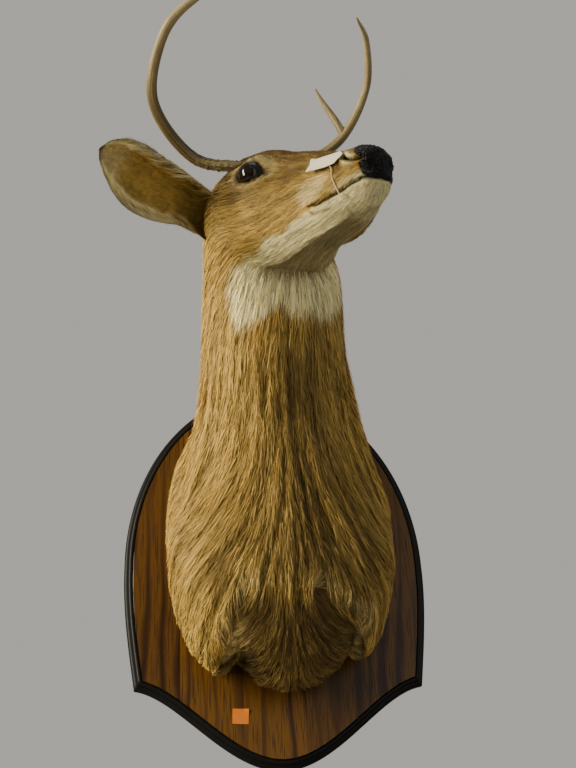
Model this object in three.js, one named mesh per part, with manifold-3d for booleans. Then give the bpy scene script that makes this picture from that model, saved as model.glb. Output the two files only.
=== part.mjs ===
// A whitetail deer shoulder mount on its shield-shaped oak plaque, life size.
//
// Frame: millimetres, +Z up. The origin is the middle of the plaque's flat back face, +Y points
// into the wall and the animal looks out along -Y. +X is the animal's own left side.
//
// The body is one long surface, worked out by bodyPoint(): a row of sections, each set by a point
// on the belly line, a point on the back line, a sideways direction and a half width, joined by
// a smooth curve from the plaque to the nose. The trunk, neck and head are lengths of it, and the
// foreleg stumps and the nose pad are cut from it. Every size takes in the tips of the coat.
import * as THREE from 'three';
import { mergeVertices } from 'three/addons/utils/BufferGeometryUtils.js';
import Module from 'manifold-3d';

const wasm = await Module();
wasm.setup();

// ---- Driving sizes ---------------------------------------------------------------------------

const GAP = 0.35; // clear space between touching pieces

const PLAQUE = {
  thickness: 19,
  archHalfWidth: 216, // the arch, an ellipse over the middle of the board
  archHeight: 279,
  cornerHalfWidth: 200, // the two lower corners, where the ogee begins
  cornerHeight: -174,
  tipHeight: -283,
  edgeWidth: 13, // width of the black moulded edge
  edgeRounding: 5,
  edgeThickness: 17,
};

// A toothed steel strip let into a pocket in the back, over the space for a nail's head.
const HANGER = { width: 44, pocketLow: 164, pocketHigh: 190, pocketDepth: 8 };
const STRIP = { low: 178, setBack: 0.5, thickness: 1.6, teeth: 9, toothDepth: 3 };

const PRICE_STICKER = { width: 22, height: 20, thickness: 0.6, x: -57, z: -213, turn: 0.04 };

const WALL_SIDE = PLAQUE.thickness + GAP; // the body starts here, in front of the board

// The head's own frame: its origin lies midway between the eyes. It looks to the animal's left,
// with the nose a little down and the whole head tilted over towards its right.
const HEAD = {
  origin: new THREE.Vector3(-21.4, -420.5, 375.7),
  yaw: THREE.MathUtils.degToRad(30.4),
  dip: THREE.MathUtils.degToRad(13.9),
  tilt: THREE.MathUtils.degToRad(12),
};

const EYE = { along: -7, side: 46.5, up: 3, radius: 16.8 };
const NOSE_PAD = { behind: 163, ahead: 200, below: -53, above: 5, side: 28 }; // a box in the head's frame

// How far an ear's two edges lie from its axis, at places along it: the front and upper edge, and
// the back and lower one.
const EAR = {
  base: [-64, 58, -32], thickness: 5.5, bow: 9,
  rootWrap: 1.75, tipWrap: 0.75, // half the angle that the leaf is rolled through
  places: [0, 0.1, 0.24, 0.36, 0.45, 0.56, 0.64, 0.73, 0.8, 0.87, 0.93, 0.97, 1],
  front: [17, 17, 21, 25.5, 27.5, 29, 30.5, 32, 31, 27.5, 21, 14, 1],
  back: [41, 37, 38, 46, 50, 51.5, 50.5, 46, 39.5, 30, 20.5, 13, 1],
};
const EARS = {
  ear_right: { side: -1, tip: [-76, 224, 31], facing: [0.86, 0.3, -0.42] },
  ear_left: { side: 1, tip: [-66, 228, 25], facing: [0.8, 0.2, -0.56] },
};

// Antlers, in the head's frame, with the sideways value counted away from the middle, and a
// radius for each point of the route.
const BEAMS = {
  antler_right: {
    side: -1,
    route: [[-38, 28, 25], [-86, 79, 46], [-65, 149, 101], [-15, 161, 166], [25, 136, 204], [63, 92, 225]],
    radii: [8.8, 7.7, 7.3, 6.6, 5.2, 1.5],
  },
  antler_left: {
    side: 1,
    route: [[-38, 28, 25], [-81, 85, 54], [-55, 150, 102], [-13, 165, 163], [26, 137, 209], [60, 91, 220]],
    radii: [8.8, 7.7, 6.7, 5.9, 4.6, 1.5],
  },
};
const TINE = {
  route: [[-52, 153, 108], [-58, 142, 131], [-62, 128, 152], [-58, 110, 170]],
  radii: [5.6, 5, 3.8, 1.2],
};
const BURR = { swell: 0.8, at: 0.08, length: 0.04 };
const FACETS = 9; // sides of an antler

// A card lying against the right side of the muzzle, and its string running down over the mouth.
const TAG = {
  length: 52, width: 21, thickness: 0.6, cornerCut: 8,
  centre: [121, -31.5, -18], turn: 0.1, out: [0.14, -0.8, 0.58],
};
const STRING = {
  radius: 0.7,
  route: [
    [121, -33.5, -22], [131, -33, -29], [136, -36.5, -43],
    [142, -37, -56], [147, -35.5, -68], [150, -33.5, -74],
  ],
};

// ---- The head's frame -------------------------------------------------------------------------

function headAxes({ yaw, dip, tilt }) {
  const nose = new THREE.Vector3(Math.sin(yaw) * Math.cos(dip), -Math.cos(yaw) * Math.cos(dip), -Math.sin(dip));
  const level = new THREE.Vector3(Math.cos(yaw), Math.sin(yaw), 0);
  const upright = new THREE.Vector3().crossVectors(level, nose).negate();
  const left = level.clone().multiplyScalar(Math.cos(tilt)).addScaledVector(upright, Math.sin(tilt));
  const crown = upright.clone().multiplyScalar(Math.cos(tilt)).addScaledVector(level, -Math.sin(tilt));
  return { nose, left, crown };
}

const AXES = headAxes(HEAD);

function headDirection([along, side, up]) {
  return new THREE.Vector3()
    .addScaledVector(AXES.nose, along)
    .addScaledVector(AXES.left, side)
    .addScaledVector(AXES.crown, up);
}

const headPoint = (values) => headDirection(values).add(HEAD.origin);

// ---- The body's sections ----------------------------------------------------------------------

// A section of the trunk or neck: belly and back points, how far the sideways direction has
// turned towards the head's, the half width, the level of the greatest width (-1 low, +1 high)
// and the roundness of the upper and the lower half (2 is an ellipse, more is squarer).
function trunkSection(belly, back, turn, half, level, over, under) {
  const side = new THREE.Vector3(1, 0, 0).multiplyScalar(1 - turn).addScaledVector(AXES.left, turn).normalize();
  const ends = { belly: new THREE.Vector3(...belly), back: new THREE.Vector3(...back) };
  return { ...ends, side, half, level, over, under };
}

// A section of the head: its lowest point [along, up, aside] and highest point [along, up], in the
// head's frame.
function headSection(low, high, half, level, over, under) {
  return {
    belly: headPoint([low[0], low[2], low[1]]),
    back: headPoint([high[0], 0, high[1]]),
    side: AXES.left, half, level, over, under,
  };
}

const SECTIONS = [
  trunkSection([0, -WALL_SIDE, -176], [-6, -WALL_SIDE, 192], 0, 145, -0.06, 2.6, 2.5), // at the plaque
  trunkSection([0, -72, -192], [-8, -50, 203], 0, 151, -0.06, 2.6, 2.5),
  trunkSection([-2, -136, -168], [-10, -80, 214], 0, 152, -0.08, 2.5, 2.5), // brisket
  trunkSection([-6, -194, -120], [-11, -110, 226], 0, 147, -0.2, 2.2, 2.3), // crest of the chest
  trunkSection([-9, -226, -55], [-12, -136, 243], 0.02, 129, -0.28, 2.0, 2.2), // shoulders
  trunkSection([-12, -250, 25], [-14, -160, 268], 0.06, 110, -0.1, 2.0, 2.1),
  trunkSection([-15, -276, 105], [-18, -184, 298], 0.12, 99, 0, 2.0, 2.1), // foot of the neck
  trunkSection([-18, -312, 172], [-24, -210, 334], 0.25, 96, 0, 2.0, 2.1),
  trunkSection([-16, -345, 222], [-31, -237, 368], 0.42, 96, 0, 2.0, 2.2),
  trunkSection([-14, -368, 254], [-43, -270, 402], 0.62, 96, -0.05, 2.0, 2.3), // top of the neck
  headSection([-14, -115, 11], [-98, 24], 90, -0.15, 2.0, 2.4), // throat and nape
  headSection([-4, -113, 12], [-68, 42], 82, -0.25, 2.0, 2.4),
  headSection([8, -110, 12], [-34, 46], 73, -0.25, 2.1, 2.3), // angle of the jaw, forehead
  headSection([24, -107, 9], [0, 40], 65, -0.25, 2.2, 2.1), // eyes
  headSection([44, -104, 5], [32, 30], 57, -0.3, 2.1, 2.0),
  headSection([68, -100, 2], [62, 20], 51, -0.35, 2.0, 1.9), // cheeks
  headSection([96, -95, 0], [92, 10], 45, -0.4, 1.9, 1.85), // corners of the mouth
  headSection([124, -90, 0], [120, 0], 40, -0.4, 2.0, 1.85),
  headSection([145, -85, 0], [144, -4], 34, -0.25, 2.2, 2.0), // chin, nostrils
  headSection([162, -79, 0], [164, -7], 30, 0, 2.4, 2.1),
  headSection([175, -65, 0], [178, -14], 21, 0.1, 2.3, 2.3),
  headSection([182, -48, 0], [183, -30], 1, 0, 2.0, 2.0), // tip of the nose
];
const LAST = SECTIONS.length - 1;
const NECK_FOOT = 5.55; // where the trunk ends and the neck begins, in sections from the plaque
const HEAD_START = 9.35;
const SECTION_GAP = 0.02; // clear space between two lengths of the body, in sections

// The folds between the brisket and the forelegs: sideways place, half width and depth.
const FOLDS = [
  { x: -62, spread: 14, depth: 28 },
  { x: -48, spread: 34, depth: 14 },
  { x: 86, spread: 13, depth: 26 },
  { x: 70, spread: 34, depth: 15 },
];
const FORELEGS = { // boxes that part the foreleg stumps from the trunk
  foreleg_right: [[-200, -150, -260], [-60, 0, -84]],
  foreleg_left: [[84, -150, -260], [200, 0, -84]],
};
const FOLDS_END = 2.7; // the folds run out at this section
const FOLDS_FADE = 1.7;

// Uniform Catmull-Rom through a list of numbers or vectors, straight on past both ends.
function through(values, u) {
  const vector = values[0].isVector3;
  const last = values.length - 1;
  const i = Math.min(Math.max(Math.floor(u), 0), last - 1);
  const t = u - i;
  const weights = [
    0.5 * (-t + 2 * t * t - t * t * t),
    0.5 * (2 - 5 * t * t + 3 * t * t * t),
    0.5 * (t + 4 * t * t - 3 * t * t * t),
    0.5 * (-t * t + t * t * t),
  ];
  const ends = [2 * weights[0], -weights[0], -weights[3], 2 * weights[3]];
  const places = [[i - 1, weights[0]], [i, weights[1]], [i + 1, weights[2]], [i + 2, weights[3]]];
  if (i === 0) places.splice(0, 1, [0, ends[0]], [1, ends[1]]);
  if (i === last - 1) places.splice(-1, 1, [last - 1, ends[2]], [last, ends[3]]);
  if (!vector) return places.reduce((sum, [k, w]) => sum + w * values[k], 0);
  const sum = new THREE.Vector3();
  for (const [k, w] of places) sum.addScaledVector(values[k], w);
  return sum;
}

const column = (key) => SECTIONS.map((section) => section[key]);
const COLUMNS = Object.fromEntries(Object.keys(SECTIONS[0]).map((key) => [key, column(key)]));

// The section u places along the body, thickened by `grow` on every side.
function sectionAt(u, grow) {
  const belly = through(COLUMNS.belly, u);
  const back = through(COLUMNS.back, u);
  const rise = back.clone().sub(belly).multiplyScalar(0.5);
  const stretch = 1 + grow / rise.length();
  return {
    centre: belly.clone().add(back).multiplyScalar(0.5),
    rise: rise.multiplyScalar(stretch),
    side: through(COLUMNS.side, u),
    half: Math.max(through(COLUMNS.half, u), 0.5) + grow,
    level: through(COLUMNS.level, u),
    over: through(COLUMNS.over, u),
    under: through(COLUMNS.under, u),
  };
}

// The body's surface: u sections along it, and an angle round it from the back line.
function bodyPoint(u, angle, grow = 0) {
  const s = sectionAt(u, grow);
  const sine = Math.sin(angle);
  const cosine = Math.cos(angle);
  const power = cosine > 0 ? s.over : s.under;
  const reach = (Math.abs(sine) ** power + Math.abs(cosine) ** power) ** (-1 / power);
  const x = s.half * sine * reach;
  const level = cosine * reach;
  const near = THREE.MathUtils.smoothstep(FOLDS_END - u, 0, FOLDS_FADE);
  let up = level + s.level * (1 - level * level);
  for (const fold of FOLDS) {
    const bell = Math.exp(-(((x - fold.x) / fold.spread) ** 2));
    up += (near * Math.max(-level, 0) ** 1.5 * fold.depth * bell) / s.rise.length();
  }
  return s.centre.clone().addScaledVector(s.rise, up).addScaledVector(s.side, x);
}

// ---- Making closed solids ----------------------------------------------------------------------

function solidFrom(points, triangles) {
  const vertProperties = new Float32Array(points.flatMap((p) => [p.x, p.y, p.z]));
  const triVerts = new Uint32Array(triangles.flat());
  return new wasm.Manifold(new wasm.Mesh({ numProp: 3, vertProperties, triVerts }));
}

function solidFromGeometry(geometry) {
  const bare = geometry.index ? geometry.toNonIndexed() : geometry;
  bare.deleteAttribute('normal');
  bare.deleteAttribute('uv');
  const merged = mergeVertices(bare, 1e-4);
  return new wasm.Manifold(new wasm.Mesh({
    numProp: 3,
    vertProperties: merged.attributes.position.array,
    triVerts: new Uint32Array(merged.index.array),
  }));
}

// Rings of points, all of the same count, joined in order and closed at both ends by a fan.
function ringSolid(rings) {
  const count = rings[0].length;
  const points = rings.flat();
  const triangles = [];
  for (let i = 0; i < rings.length - 1; i += 1) {
    for (let j = 0; j < count; j += 1) {
      const a = i * count + j;
      const b = i * count + ((j + 1) % count);
      triangles.push([a, b, a + count], [b, b + count, a + count]);
    }
  }
  for (const [start, flip] of [[0, true], [(rings.length - 1) * count, false]]) {
    const middle = points.length;
    const centre = new THREE.Vector3();
    for (let j = 0; j < count; j += 1) centre.addScaledVector(points[start + j], 1 / count);
    points.push(centre);
    for (let j = 0; j < count; j += 1) {
      const next = start + ((j + 1) % count);
      triangles.push(flip ? [start + j, middle, next] : [start + j, next, middle]);
    }
  }
  const made = solidFrom(points, triangles);
  return made.volume() > 0 ? made : solidFrom(points, triangles.map(([a, b, c]) => [a, c, b]));
}

// Angles round a section, closer together in the bottom quarter where the folds are.
function anglesRound(count, crowd) {
  return Array.from({ length: count }, (_, j) => {
    const angle = (2 * Math.PI * j) / count;
    return angle + crowd * Math.sin(angle);
  });
}

// A length of the body from section u0 to u1.
function bodyLength(u0, u1, { rings, around, crowd = 0, grow = 0 }) {
  const angles = anglesRound(around, crowd);
  return ringSolid(Array.from({ length: rings + 1 }, (_, i) => {
    const u = THREE.MathUtils.lerp(u0, u1, i / rings);
    return angles.map((angle) => bodyPoint(u, angle, grow));
  }));
}

// A box in the head's frame, from its lowest to its highest corner.
function headBox(low, high) {
  const size = high.map((value, k) => value - low[k]);
  const middle = low.map((value, k) => value + size[k] / 2);
  const box = new THREE.BoxGeometry(...size);
  const place = new THREE.Matrix4().makeBasis(AXES.nose, AXES.left, AXES.crown);
  return solidFromGeometry(box.applyMatrix4(place.setPosition(headPoint(middle))));
}

function worldBox(low, high) {
  const size = high.map((value, k) => value - low[k]);
  const box = new THREE.BoxGeometry(...size);
  box.translate(...low.map((value, k) => value + size[k] / 2));
  return solidFromGeometry(box);
}

function ball(centre, radius, detail = 18) {
  const sphere = new THREE.SphereGeometry(radius, detail, detail / 2);
  sphere.translate(centre.x, centre.y, centre.z);
  return solidFromGeometry(sphere);
}

function largestPiece(solid) {
  return solid.decompose().reduce((best, piece) => (piece.volume() > best.volume() ? piece : best));
}

// A round bar along a route, with a radius for each point of the route or a function of its place.
function bar(route, radiusAt, steps, sides) {
  const places = Array.from({ length: steps + 1 }, (_, i) => (i / steps) * (route.length - 1));
  const points = places.map((place) => through(route, place));
  let across = new THREE.Vector3(0.3, 0.2, 1); // any direction that no route starts along
  const rings = points.map((point, i) => {
    const ahead = points[Math.min(i + 1, steps)].clone().sub(points[Math.max(i - 1, 0)]).normalize();
    across = across.clone().addScaledVector(ahead, -across.dot(ahead)).normalize();
    const other = new THREE.Vector3().crossVectors(ahead, across);
    const radius = radiusAt(i / steps);
    return Array.from({ length: sides }, (_, j) => {
      const angle = (2 * Math.PI * j) / sides;
      return point.clone()
        .addScaledVector(across, radius * Math.cos(angle))
        .addScaledVector(other, radius * Math.sin(angle));
    });
  });
  return ringSolid(rings);
}

// ---- The plaque ----------------------------------------------------------------------------------

const ARCH_STEPS = 20;
const SIDE_STEPS = 5;
const OGEE_STEPS = 14;

// Half the shield's outline from the top to the tip, set in by `inset`: an elliptical arch, a side
// that draws in to the corner, and an ogee from the corner to the tip.
function plaqueShape(inset) {
  const p = PLAQUE;
  const arch = Array.from({ length: ARCH_STEPS + 1 }, (_, i) => {
    const angle = (i / ARCH_STEPS) * (Math.PI / 2);
    return new THREE.Vector2(p.archHalfWidth * Math.sin(angle), p.archHeight * Math.cos(angle));
  });
  const side = new THREE.CubicBezierCurve(
    new THREE.Vector2(p.archHalfWidth, 0),
    new THREE.Vector2(p.archHalfWidth + 2, -60),
    new THREE.Vector2(p.cornerHalfWidth + 8, p.cornerHeight + 54),
    new THREE.Vector2(p.cornerHalfWidth, p.cornerHeight),
  ).getPoints(SIDE_STEPS).slice(1);
  const ogee = new THREE.CubicBezierCurve(
    new THREE.Vector2(p.cornerHalfWidth, p.cornerHeight),
    new THREE.Vector2(p.cornerHalfWidth - 60, p.cornerHeight - 9),
    new THREE.Vector2(p.cornerHalfWidth - 124, p.tipHeight),
    new THREE.Vector2(0, p.tipHeight),
  ).getPoints(OGEE_STEPS).slice(1);
  const right = [...arch, ...side, ...ogee];
  const whole = [...right, ...right.slice(1, -1).reverse().map((v) => new THREE.Vector2(-v.x, v.y))];
  const inward = (from, to) => { // it runs clockwise
    const along = to.clone().sub(from).normalize();
    return new THREE.Vector2(along.y, -along.x);
  };
  return whole.map((v, i) => {
    const one = inward(whole[(i + whole.length - 1) % whole.length], v);
    const other = inward(v, whole[(i + 1) % whole.length]);
    return v.clone().add(one.clone().add(other).multiplyScalar(inset / (1 + one.dot(other))));
  });
}

// An outline in X and Z made a plate from y = 0 towards the front.
function plate(outline, front, bevel = 0) {
  const geometry = new THREE.ExtrudeGeometry(new THREE.Shape(outline), {
    depth: front - 2 * bevel,
    bevelEnabled: bevel > 0,
    bevelThickness: bevel,
    bevelSize: bevel,
    bevelOffset: -bevel,
    bevelSegments: 2,
    curveSegments: 1,
  });
  geometry.translate(0, 0, bevel);
  return solidFromGeometry(geometry.rotateX(Math.PI / 2));
}

function plaqueSolids() {
  const p = PLAQUE;
  const inner = plaqueShape(p.edgeWidth);
  const hole = plaqueShape(p.edgeWidth - GAP);
  const board = plate(inner, p.thickness);
  const edge = plate(plaqueShape(0), p.edgeThickness, p.edgeRounding).subtract(
    plate(hole, p.thickness + 10).translate([0, 5, 0]),
  );
  const h = HANGER;
  const pocket = worldBox([-h.width / 2, -h.pocketDepth, h.pocketLow], [h.width / 2, 1, h.pocketHigh]);
  return { board: board.subtract(pocket), edge };
}

// The steel strip across the pocket, with its teeth along the lower edge.
function hangerStrip() {
  const halfWidth = HANGER.width / 2 - GAP;
  const high = HANGER.pocketHigh - GAP;
  const pitch = (2 * halfWidth) / STRIP.teeth;
  const outline = [[halfWidth, high], [-halfWidth, high], [-halfWidth, STRIP.low]];
  for (let k = 0; k < STRIP.teeth; k += 1) {
    const x = -halfWidth + k * pitch;
    if (k > 0) outline.push([x, STRIP.low]);
    outline.push([x + pitch / 2, STRIP.low - STRIP.toothDepth]);
  }
  outline.push([halfWidth, STRIP.low]);
  const shape = outline.map(([x, z]) => new THREE.Vector2(x, z));
  return plate(shape, STRIP.thickness).translate([0, -STRIP.setBack, 0]);
}

function sticker() {
  const s = PRICE_STICKER;
  const box = new THREE.BoxGeometry(s.width, s.thickness, s.height);
  box.rotateY(s.turn).translate(s.x, -PLAQUE.thickness - GAP - s.thickness / 2, s.z);
  return solidFromGeometry(box);
}

// ---- Ears ----------------------------------------------------------------------------------------

// A value between the entries of a table, by straight lines.
function table(places, values, place) {
  const i = Math.max(places.findIndex((entry) => entry >= place), 1);
  const share = (place - places[i - 1]) / (places[i] - places[i - 1]);
  return THREE.MathUtils.lerp(values[i - 1], values[i], share);
}

// An ear is a leaf rolled into a cup: s runs from the root to the tip and t across from edge to
// edge. Each section is an arc of a circle, nearly a whole tube at the root and flat at the tip.
function earSolid({ side, tip, facing }) {
  const mirrored = ([along, across, up]) => [along, across * side, up];
  const root = headPoint(mirrored(EAR.base));
  const end = headPoint(mirrored(tip));
  const axis = end.clone().sub(root).normalize();
  const open = headDirection(mirrored(facing));
  open.addScaledVector(axis, -open.dot(axis)).normalize();
  const across = new THREE.Vector3().crossVectors(axis, open);
  const length = end.distanceTo(root);
  const lengthwise = 18;
  const crosswise = 10;
  const surface = (s, t, outer) => {
    const front = table(EAR.places, EAR.front, s);
    const back = table(EAR.places, EAR.back, s);
    const half = (front + back) / 2;
    const shift = (side * (back - front)) / 2;
    const wrap = THREE.MathUtils.lerp(EAR.rootWrap, EAR.tipWrap, THREE.MathUtils.smoothstep(s, 0, 0.6));
    const radius = Math.max(half, 0.01) / Math.sin(Math.min(wrap, Math.PI / 2));
    const wall = (EAR.thickness / 2) * (1 - t * t) * Math.sqrt(Math.max(1 - s ** 6, 0)) * outer;
    const angle = wrap * t;
    const bow = EAR.bow * Math.sin(Math.PI * s);
    const mouth = radius * Math.cos(Math.min(wrap, 1.9)) + half * 0.35 - bow;
    return root.clone()
      .addScaledVector(axis, length * s)
      .addScaledVector(across, shift + (radius + wall) * Math.sin(angle))
      .addScaledVector(open, mouth - (radius + wall) * Math.cos(angle));
  };
  const rings = Array.from({ length: lengthwise + 1 }, (_, i) => {
    const s = Math.min(i / lengthwise, 0.999);
    const inner = Array.from({ length: crosswise }, (__, j) => surface(s, -1 + (2 * j) / crosswise, -1));
    const back = Array.from({ length: crosswise }, (__, j) => surface(s, 1 - (2 * j) / crosswise, 1));
    return [...inner, ...back];
  });
  return ringSolid(rings);
}

// ---- Antlers ---------------------------------------------------------------------------------------

const antlerRoute = (route, side) => route.map(([along, across, up]) => headPoint([along, across * side, up]));

function beamSolid({ side, route, radii }, grow = 0) {
  const radiusAt = (s) => {
    const burr = BURR.swell * Math.exp(-(((s - BURR.at) / BURR.length) ** 2));
    return through(radii, s * (radii.length - 1)) + burr + grow;
  };
  return bar(antlerRoute(route, side), radiusAt, 26, FACETS);
}

function tineSolid() {
  const radiusAt = (s) => through(TINE.radii, s * (TINE.radii.length - 1));
  return bar(antlerRoute(TINE.route, BEAMS.antler_left.side), radiusAt, 8, FACETS);
}

// ---- Tag and its string ----------------------------------------------------------------------------

// A small card with cut corners, lying against the side of the muzzle under its string.
function tagSolid() {
  const { length, width, thickness, cornerCut: cut, centre, turn } = TAG;
  const outline = [
    [-length / 2, -width / 2], [length / 2 - cut, -width / 2], [length / 2, -width / 2 + cut],
    [length / 2, width / 2 - cut], [length / 2 - cut, width / 2], [-length / 2, width / 2],
  ].map(([x, y]) => new THREE.Vector2(x, y));
  const settings = { depth: thickness, bevelEnabled: false };
  const geometry = new THREE.ExtrudeGeometry(new THREE.Shape(outline), settings);
  const out = headDirection(TAG.out).normalize();
  const along = headDirection([1, 0, turn]);
  along.addScaledVector(out, -along.dot(out)).normalize();
  const across = new THREE.Vector3().crossVectors(out, along);
  const place = new THREE.Matrix4().makeBasis(along, across, out).setPosition(headPoint(centre));
  return solidFromGeometry(geometry.applyMatrix4(place));
}

function stringSolid() {
  return bar(STRING.route.map(headPoint), () => STRING.radius, 16, 8);
}

// ---- Assembly ----------------------------------------------------------------------------------------

const part = new THREE.Group();

function material(color, roughness, metalness = 0) {
  return new THREE.MeshStandardMaterial({ color, roughness, metalness });
}

const FINISHES = {
  oak: material(0x5b3415, 0.35),
  black_edge: material(0x14110f, 0.4),
  steel: material(0x9a9a98, 0.4, 0.9),
  coat: material(0x9c7440, 0.85),
  nose: material(0x15120f, 0.45),
  eye: material(0x0d0906, 0.05),
  antler: material(0x7d6238, 0.5),
  card: material(0xe8e2cf, 0.8),
  string: material(0xd9c9a0, 0.8),
  sticker: material(0xe5701c, 0.7),
};

function add(name, solid, finish) {
  const { numProp, vertProperties, triVerts } = largestPiece(solid).getMesh();
  if (numProp !== 3) throw new Error(`${name} carries more than positions`);
  const geometry = new THREE.BufferGeometry();
  geometry.setAttribute('position', new THREE.BufferAttribute(new Float32Array(vertProperties), 3));
  geometry.setIndex(new THREE.BufferAttribute(new Uint32Array(triVerts), 1));
  geometry.computeVertexNormals();
  const mesh = new THREE.Mesh(geometry, FINISHES[finish]);
  mesh.name = name;
  part.add(mesh);
}

function addPlaque() {
  const { board, edge } = plaqueSolids();
  add('plaque_board', board, 'oak');
  add('plaque_edge', edge, 'black_edge');
  add('hanger_strip', hangerStrip(), 'steel');
  add('price_sticker', sticker(), 'sticker');
}

function addBody() {
  const trunk = bodyLength(0, NECK_FOOT - SECTION_GAP, { rings: 12, around: 44, crowd: 0.35 });
  const neck = bodyLength(NECK_FOOT, HEAD_START - SECTION_GAP, { rings: 8, around: 28 });
  const whole = bodyLength(HEAD_START, LAST, { rings: 27, around: 28 });

  let rest = trunk;
  for (const [name, [low, high]] of Object.entries(FORELEGS)) {
    add(name, trunk.intersect(worldBox(low, high)), 'coat');
    rest = rest.subtract(worldBox(low.map((v) => v - GAP), high.map((v) => v + GAP)));
  }
  add('trunk', rest, 'coat');
  add('neck', neck, 'coat');

  const pad = NOSE_PAD;
  const padBox = (grow) => headBox(
    [pad.behind - grow, -pad.side - grow, pad.below - grow],
    [pad.ahead + grow, pad.side + grow, pad.above + grow],
  );
  let head = whole.subtract(padBox(GAP));
  for (const [name, side] of [['eye_right', -1], ['eye_left', 1]]) {
    const centre = headPoint([EYE.along, EYE.side * side, EYE.up]);
    add(name, ball(centre, EYE.radius), 'eye');
    head = head.subtract(ball(centre, EYE.radius + GAP));
  }
  add('head', head, 'coat');
  add('nose_pad', whole.intersect(padBox(0)), 'nose');
}

function addEarsAndAntlers() {
  const facetClearance = 0.7; // the head's own facets stand out this far from a finer surface
  const around = bodyLength(7, LAST, { rings: 30, around: 28, grow: GAP + facetClearance });
  for (const [name, ear] of Object.entries(EARS)) add(name, earSolid(ear).subtract(around), 'coat');
  for (const [name, beam] of Object.entries(BEAMS)) add(name, beamSolid(beam).subtract(around), 'antler');
  add('antler_left_tine', tineSolid().subtract(beamSolid(BEAMS.antler_left, GAP)), 'antler');
}

addPlaque();
addBody();
addEarsAndAntlers();
add('muzzle_tag', tagSolid(), 'card');
add('tag_string', stringSolid(), 'string');

export default part;
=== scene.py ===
import math

import bpy
import numpy as np
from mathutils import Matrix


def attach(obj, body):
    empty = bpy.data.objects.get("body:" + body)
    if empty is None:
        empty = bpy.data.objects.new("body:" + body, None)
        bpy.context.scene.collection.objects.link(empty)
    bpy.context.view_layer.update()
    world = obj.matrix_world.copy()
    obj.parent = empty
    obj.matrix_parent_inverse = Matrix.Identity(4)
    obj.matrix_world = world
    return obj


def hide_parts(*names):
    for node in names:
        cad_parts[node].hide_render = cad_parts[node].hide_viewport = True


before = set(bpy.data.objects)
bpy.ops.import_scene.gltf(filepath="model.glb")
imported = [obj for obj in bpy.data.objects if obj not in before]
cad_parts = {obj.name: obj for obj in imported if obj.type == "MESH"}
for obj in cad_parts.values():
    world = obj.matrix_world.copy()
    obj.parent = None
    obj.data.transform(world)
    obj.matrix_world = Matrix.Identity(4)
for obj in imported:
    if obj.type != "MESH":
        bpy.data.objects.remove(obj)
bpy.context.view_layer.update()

# A whitetail deer shoulder mount on a shield-shaped oak plaque. Lengths in the shape functions are
# in millimetres, in the frame's axes: +Y into the wall, +Z up, +X towards the animal's own left.
# The pieces are put into the meshes in metres.

bl_info = {
    "name": "Deer shoulder mount",
    "version": (1, 0, 0),
    "blender": (4, 5, 0),
    "location": "View3D > Sidebar > Mount",
    "description": "A deer's head, neck and shoulders under a coat of meshed hair, on an oak plaque",
    "category": "Object",
}

MM = 0.001


# ---- Small numeric helpers --------------------------------------------------------------------


def smooth(x, low, high):
    """0 below low, 1 above high, with a smooth cubic ramp between them."""
    t = np.clip((x - low) / (high - low), 0.0, 1.0)
    return t * t * (3.0 - 2.0 * t)


def bell(x, centre, spread):
    """exp(-d^2), where d is the distance from the centre in spreads."""
    return np.exp(-(((x - centre) / spread) ** 2))


def mix(a, b, t):
    return a + (b - a) * t


def unit(v):
    return v / np.maximum(np.linalg.norm(v, axis=-1, keepdims=True), 1e-9)


def dot(a, b):
    return np.sum(a * b, axis=-1)


def ripple(points, wavelength, seed, waves=7):
    """Smooth noise, mostly within -1 to 1: a sum of sine waves of random direction and phase."""
    rng = np.random.default_rng(seed)
    total = 0.0
    for _ in range(waves):
        wave = unit(rng.normal(size=3)) * (2 * math.pi / (wavelength * rng.uniform(0.7, 1.4)))
        total = total + np.sin(points @ wave + rng.uniform(0, 2 * math.pi))
    return total * (0.7 / math.sqrt(waves))


def through(values, u):
    """Uniform Catmull-Rom curve through rows of values, straight on past both ends, at places u."""
    values = np.asarray(values, float)
    flat = values.reshape(len(values), -1)
    padded = np.concatenate([2 * flat[:1] - flat[1:2], flat, 2 * flat[-1:] - flat[-2:-1]])
    u = np.asarray(u, float)
    i = np.clip(np.floor(u), 0, len(values) - 2).astype(int)
    t = (u - i)[..., None]
    weights = (
        0.5 * (-t + 2 * t**2 - t**3),
        0.5 * (2 - 5 * t**2 + 3 * t**3),
        0.5 * (t + 4 * t**2 - 3 * t**3),
        0.5 * (-(t**2) + t**3),
    )
    total = sum(w * padded[i + k] for k, w in enumerate(weights))
    return total.reshape(u.shape + values.shape[1:])


def route_distance(points, route):
    """Distance from each point to the nearest place on a line through the route's points."""
    best = np.full(points.shape[:-1], 1e9)
    for a, b in zip(route[:-1], route[1:]):
        a, b = np.asarray(a, float), np.asarray(b, float)
        t = np.clip((points - a) @ (b - a) / dot(b - a, b - a), 0, 1)
        best = np.minimum(best, np.linalg.norm(points - a - t[..., None] * (b - a), axis=-1))
    return best


# ---- The head's frame and the body's sections -------------------------------------------------

HEAD_ORIGIN = np.array([-21.4, -420.5, 375.7])  # midway between the eyes
YAW, DIP, TILT = (math.radians(v) for v in (30.4, 13.9, 12.0))


def head_axes():
    """The head's own directions: towards the nose, to its left and up through the crown."""
    nose = np.array([math.sin(YAW) * math.cos(DIP), -math.cos(YAW) * math.cos(DIP), -math.sin(DIP)])
    level = np.array([math.cos(YAW), math.sin(YAW), 0.0])
    upright = -np.cross(level, nose)
    left = level * math.cos(TILT) + upright * math.sin(TILT)
    crown = upright * math.cos(TILT) - level * math.sin(TILT)
    return np.array([nose, left, crown])


AXES = head_axes()
LEFT = AXES[1]


def from_head(values):
    """Points given along, to the left and up in the head's frame, in the frame's axes."""
    return HEAD_ORIGIN + np.asarray(values, float) @ AXES


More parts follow.
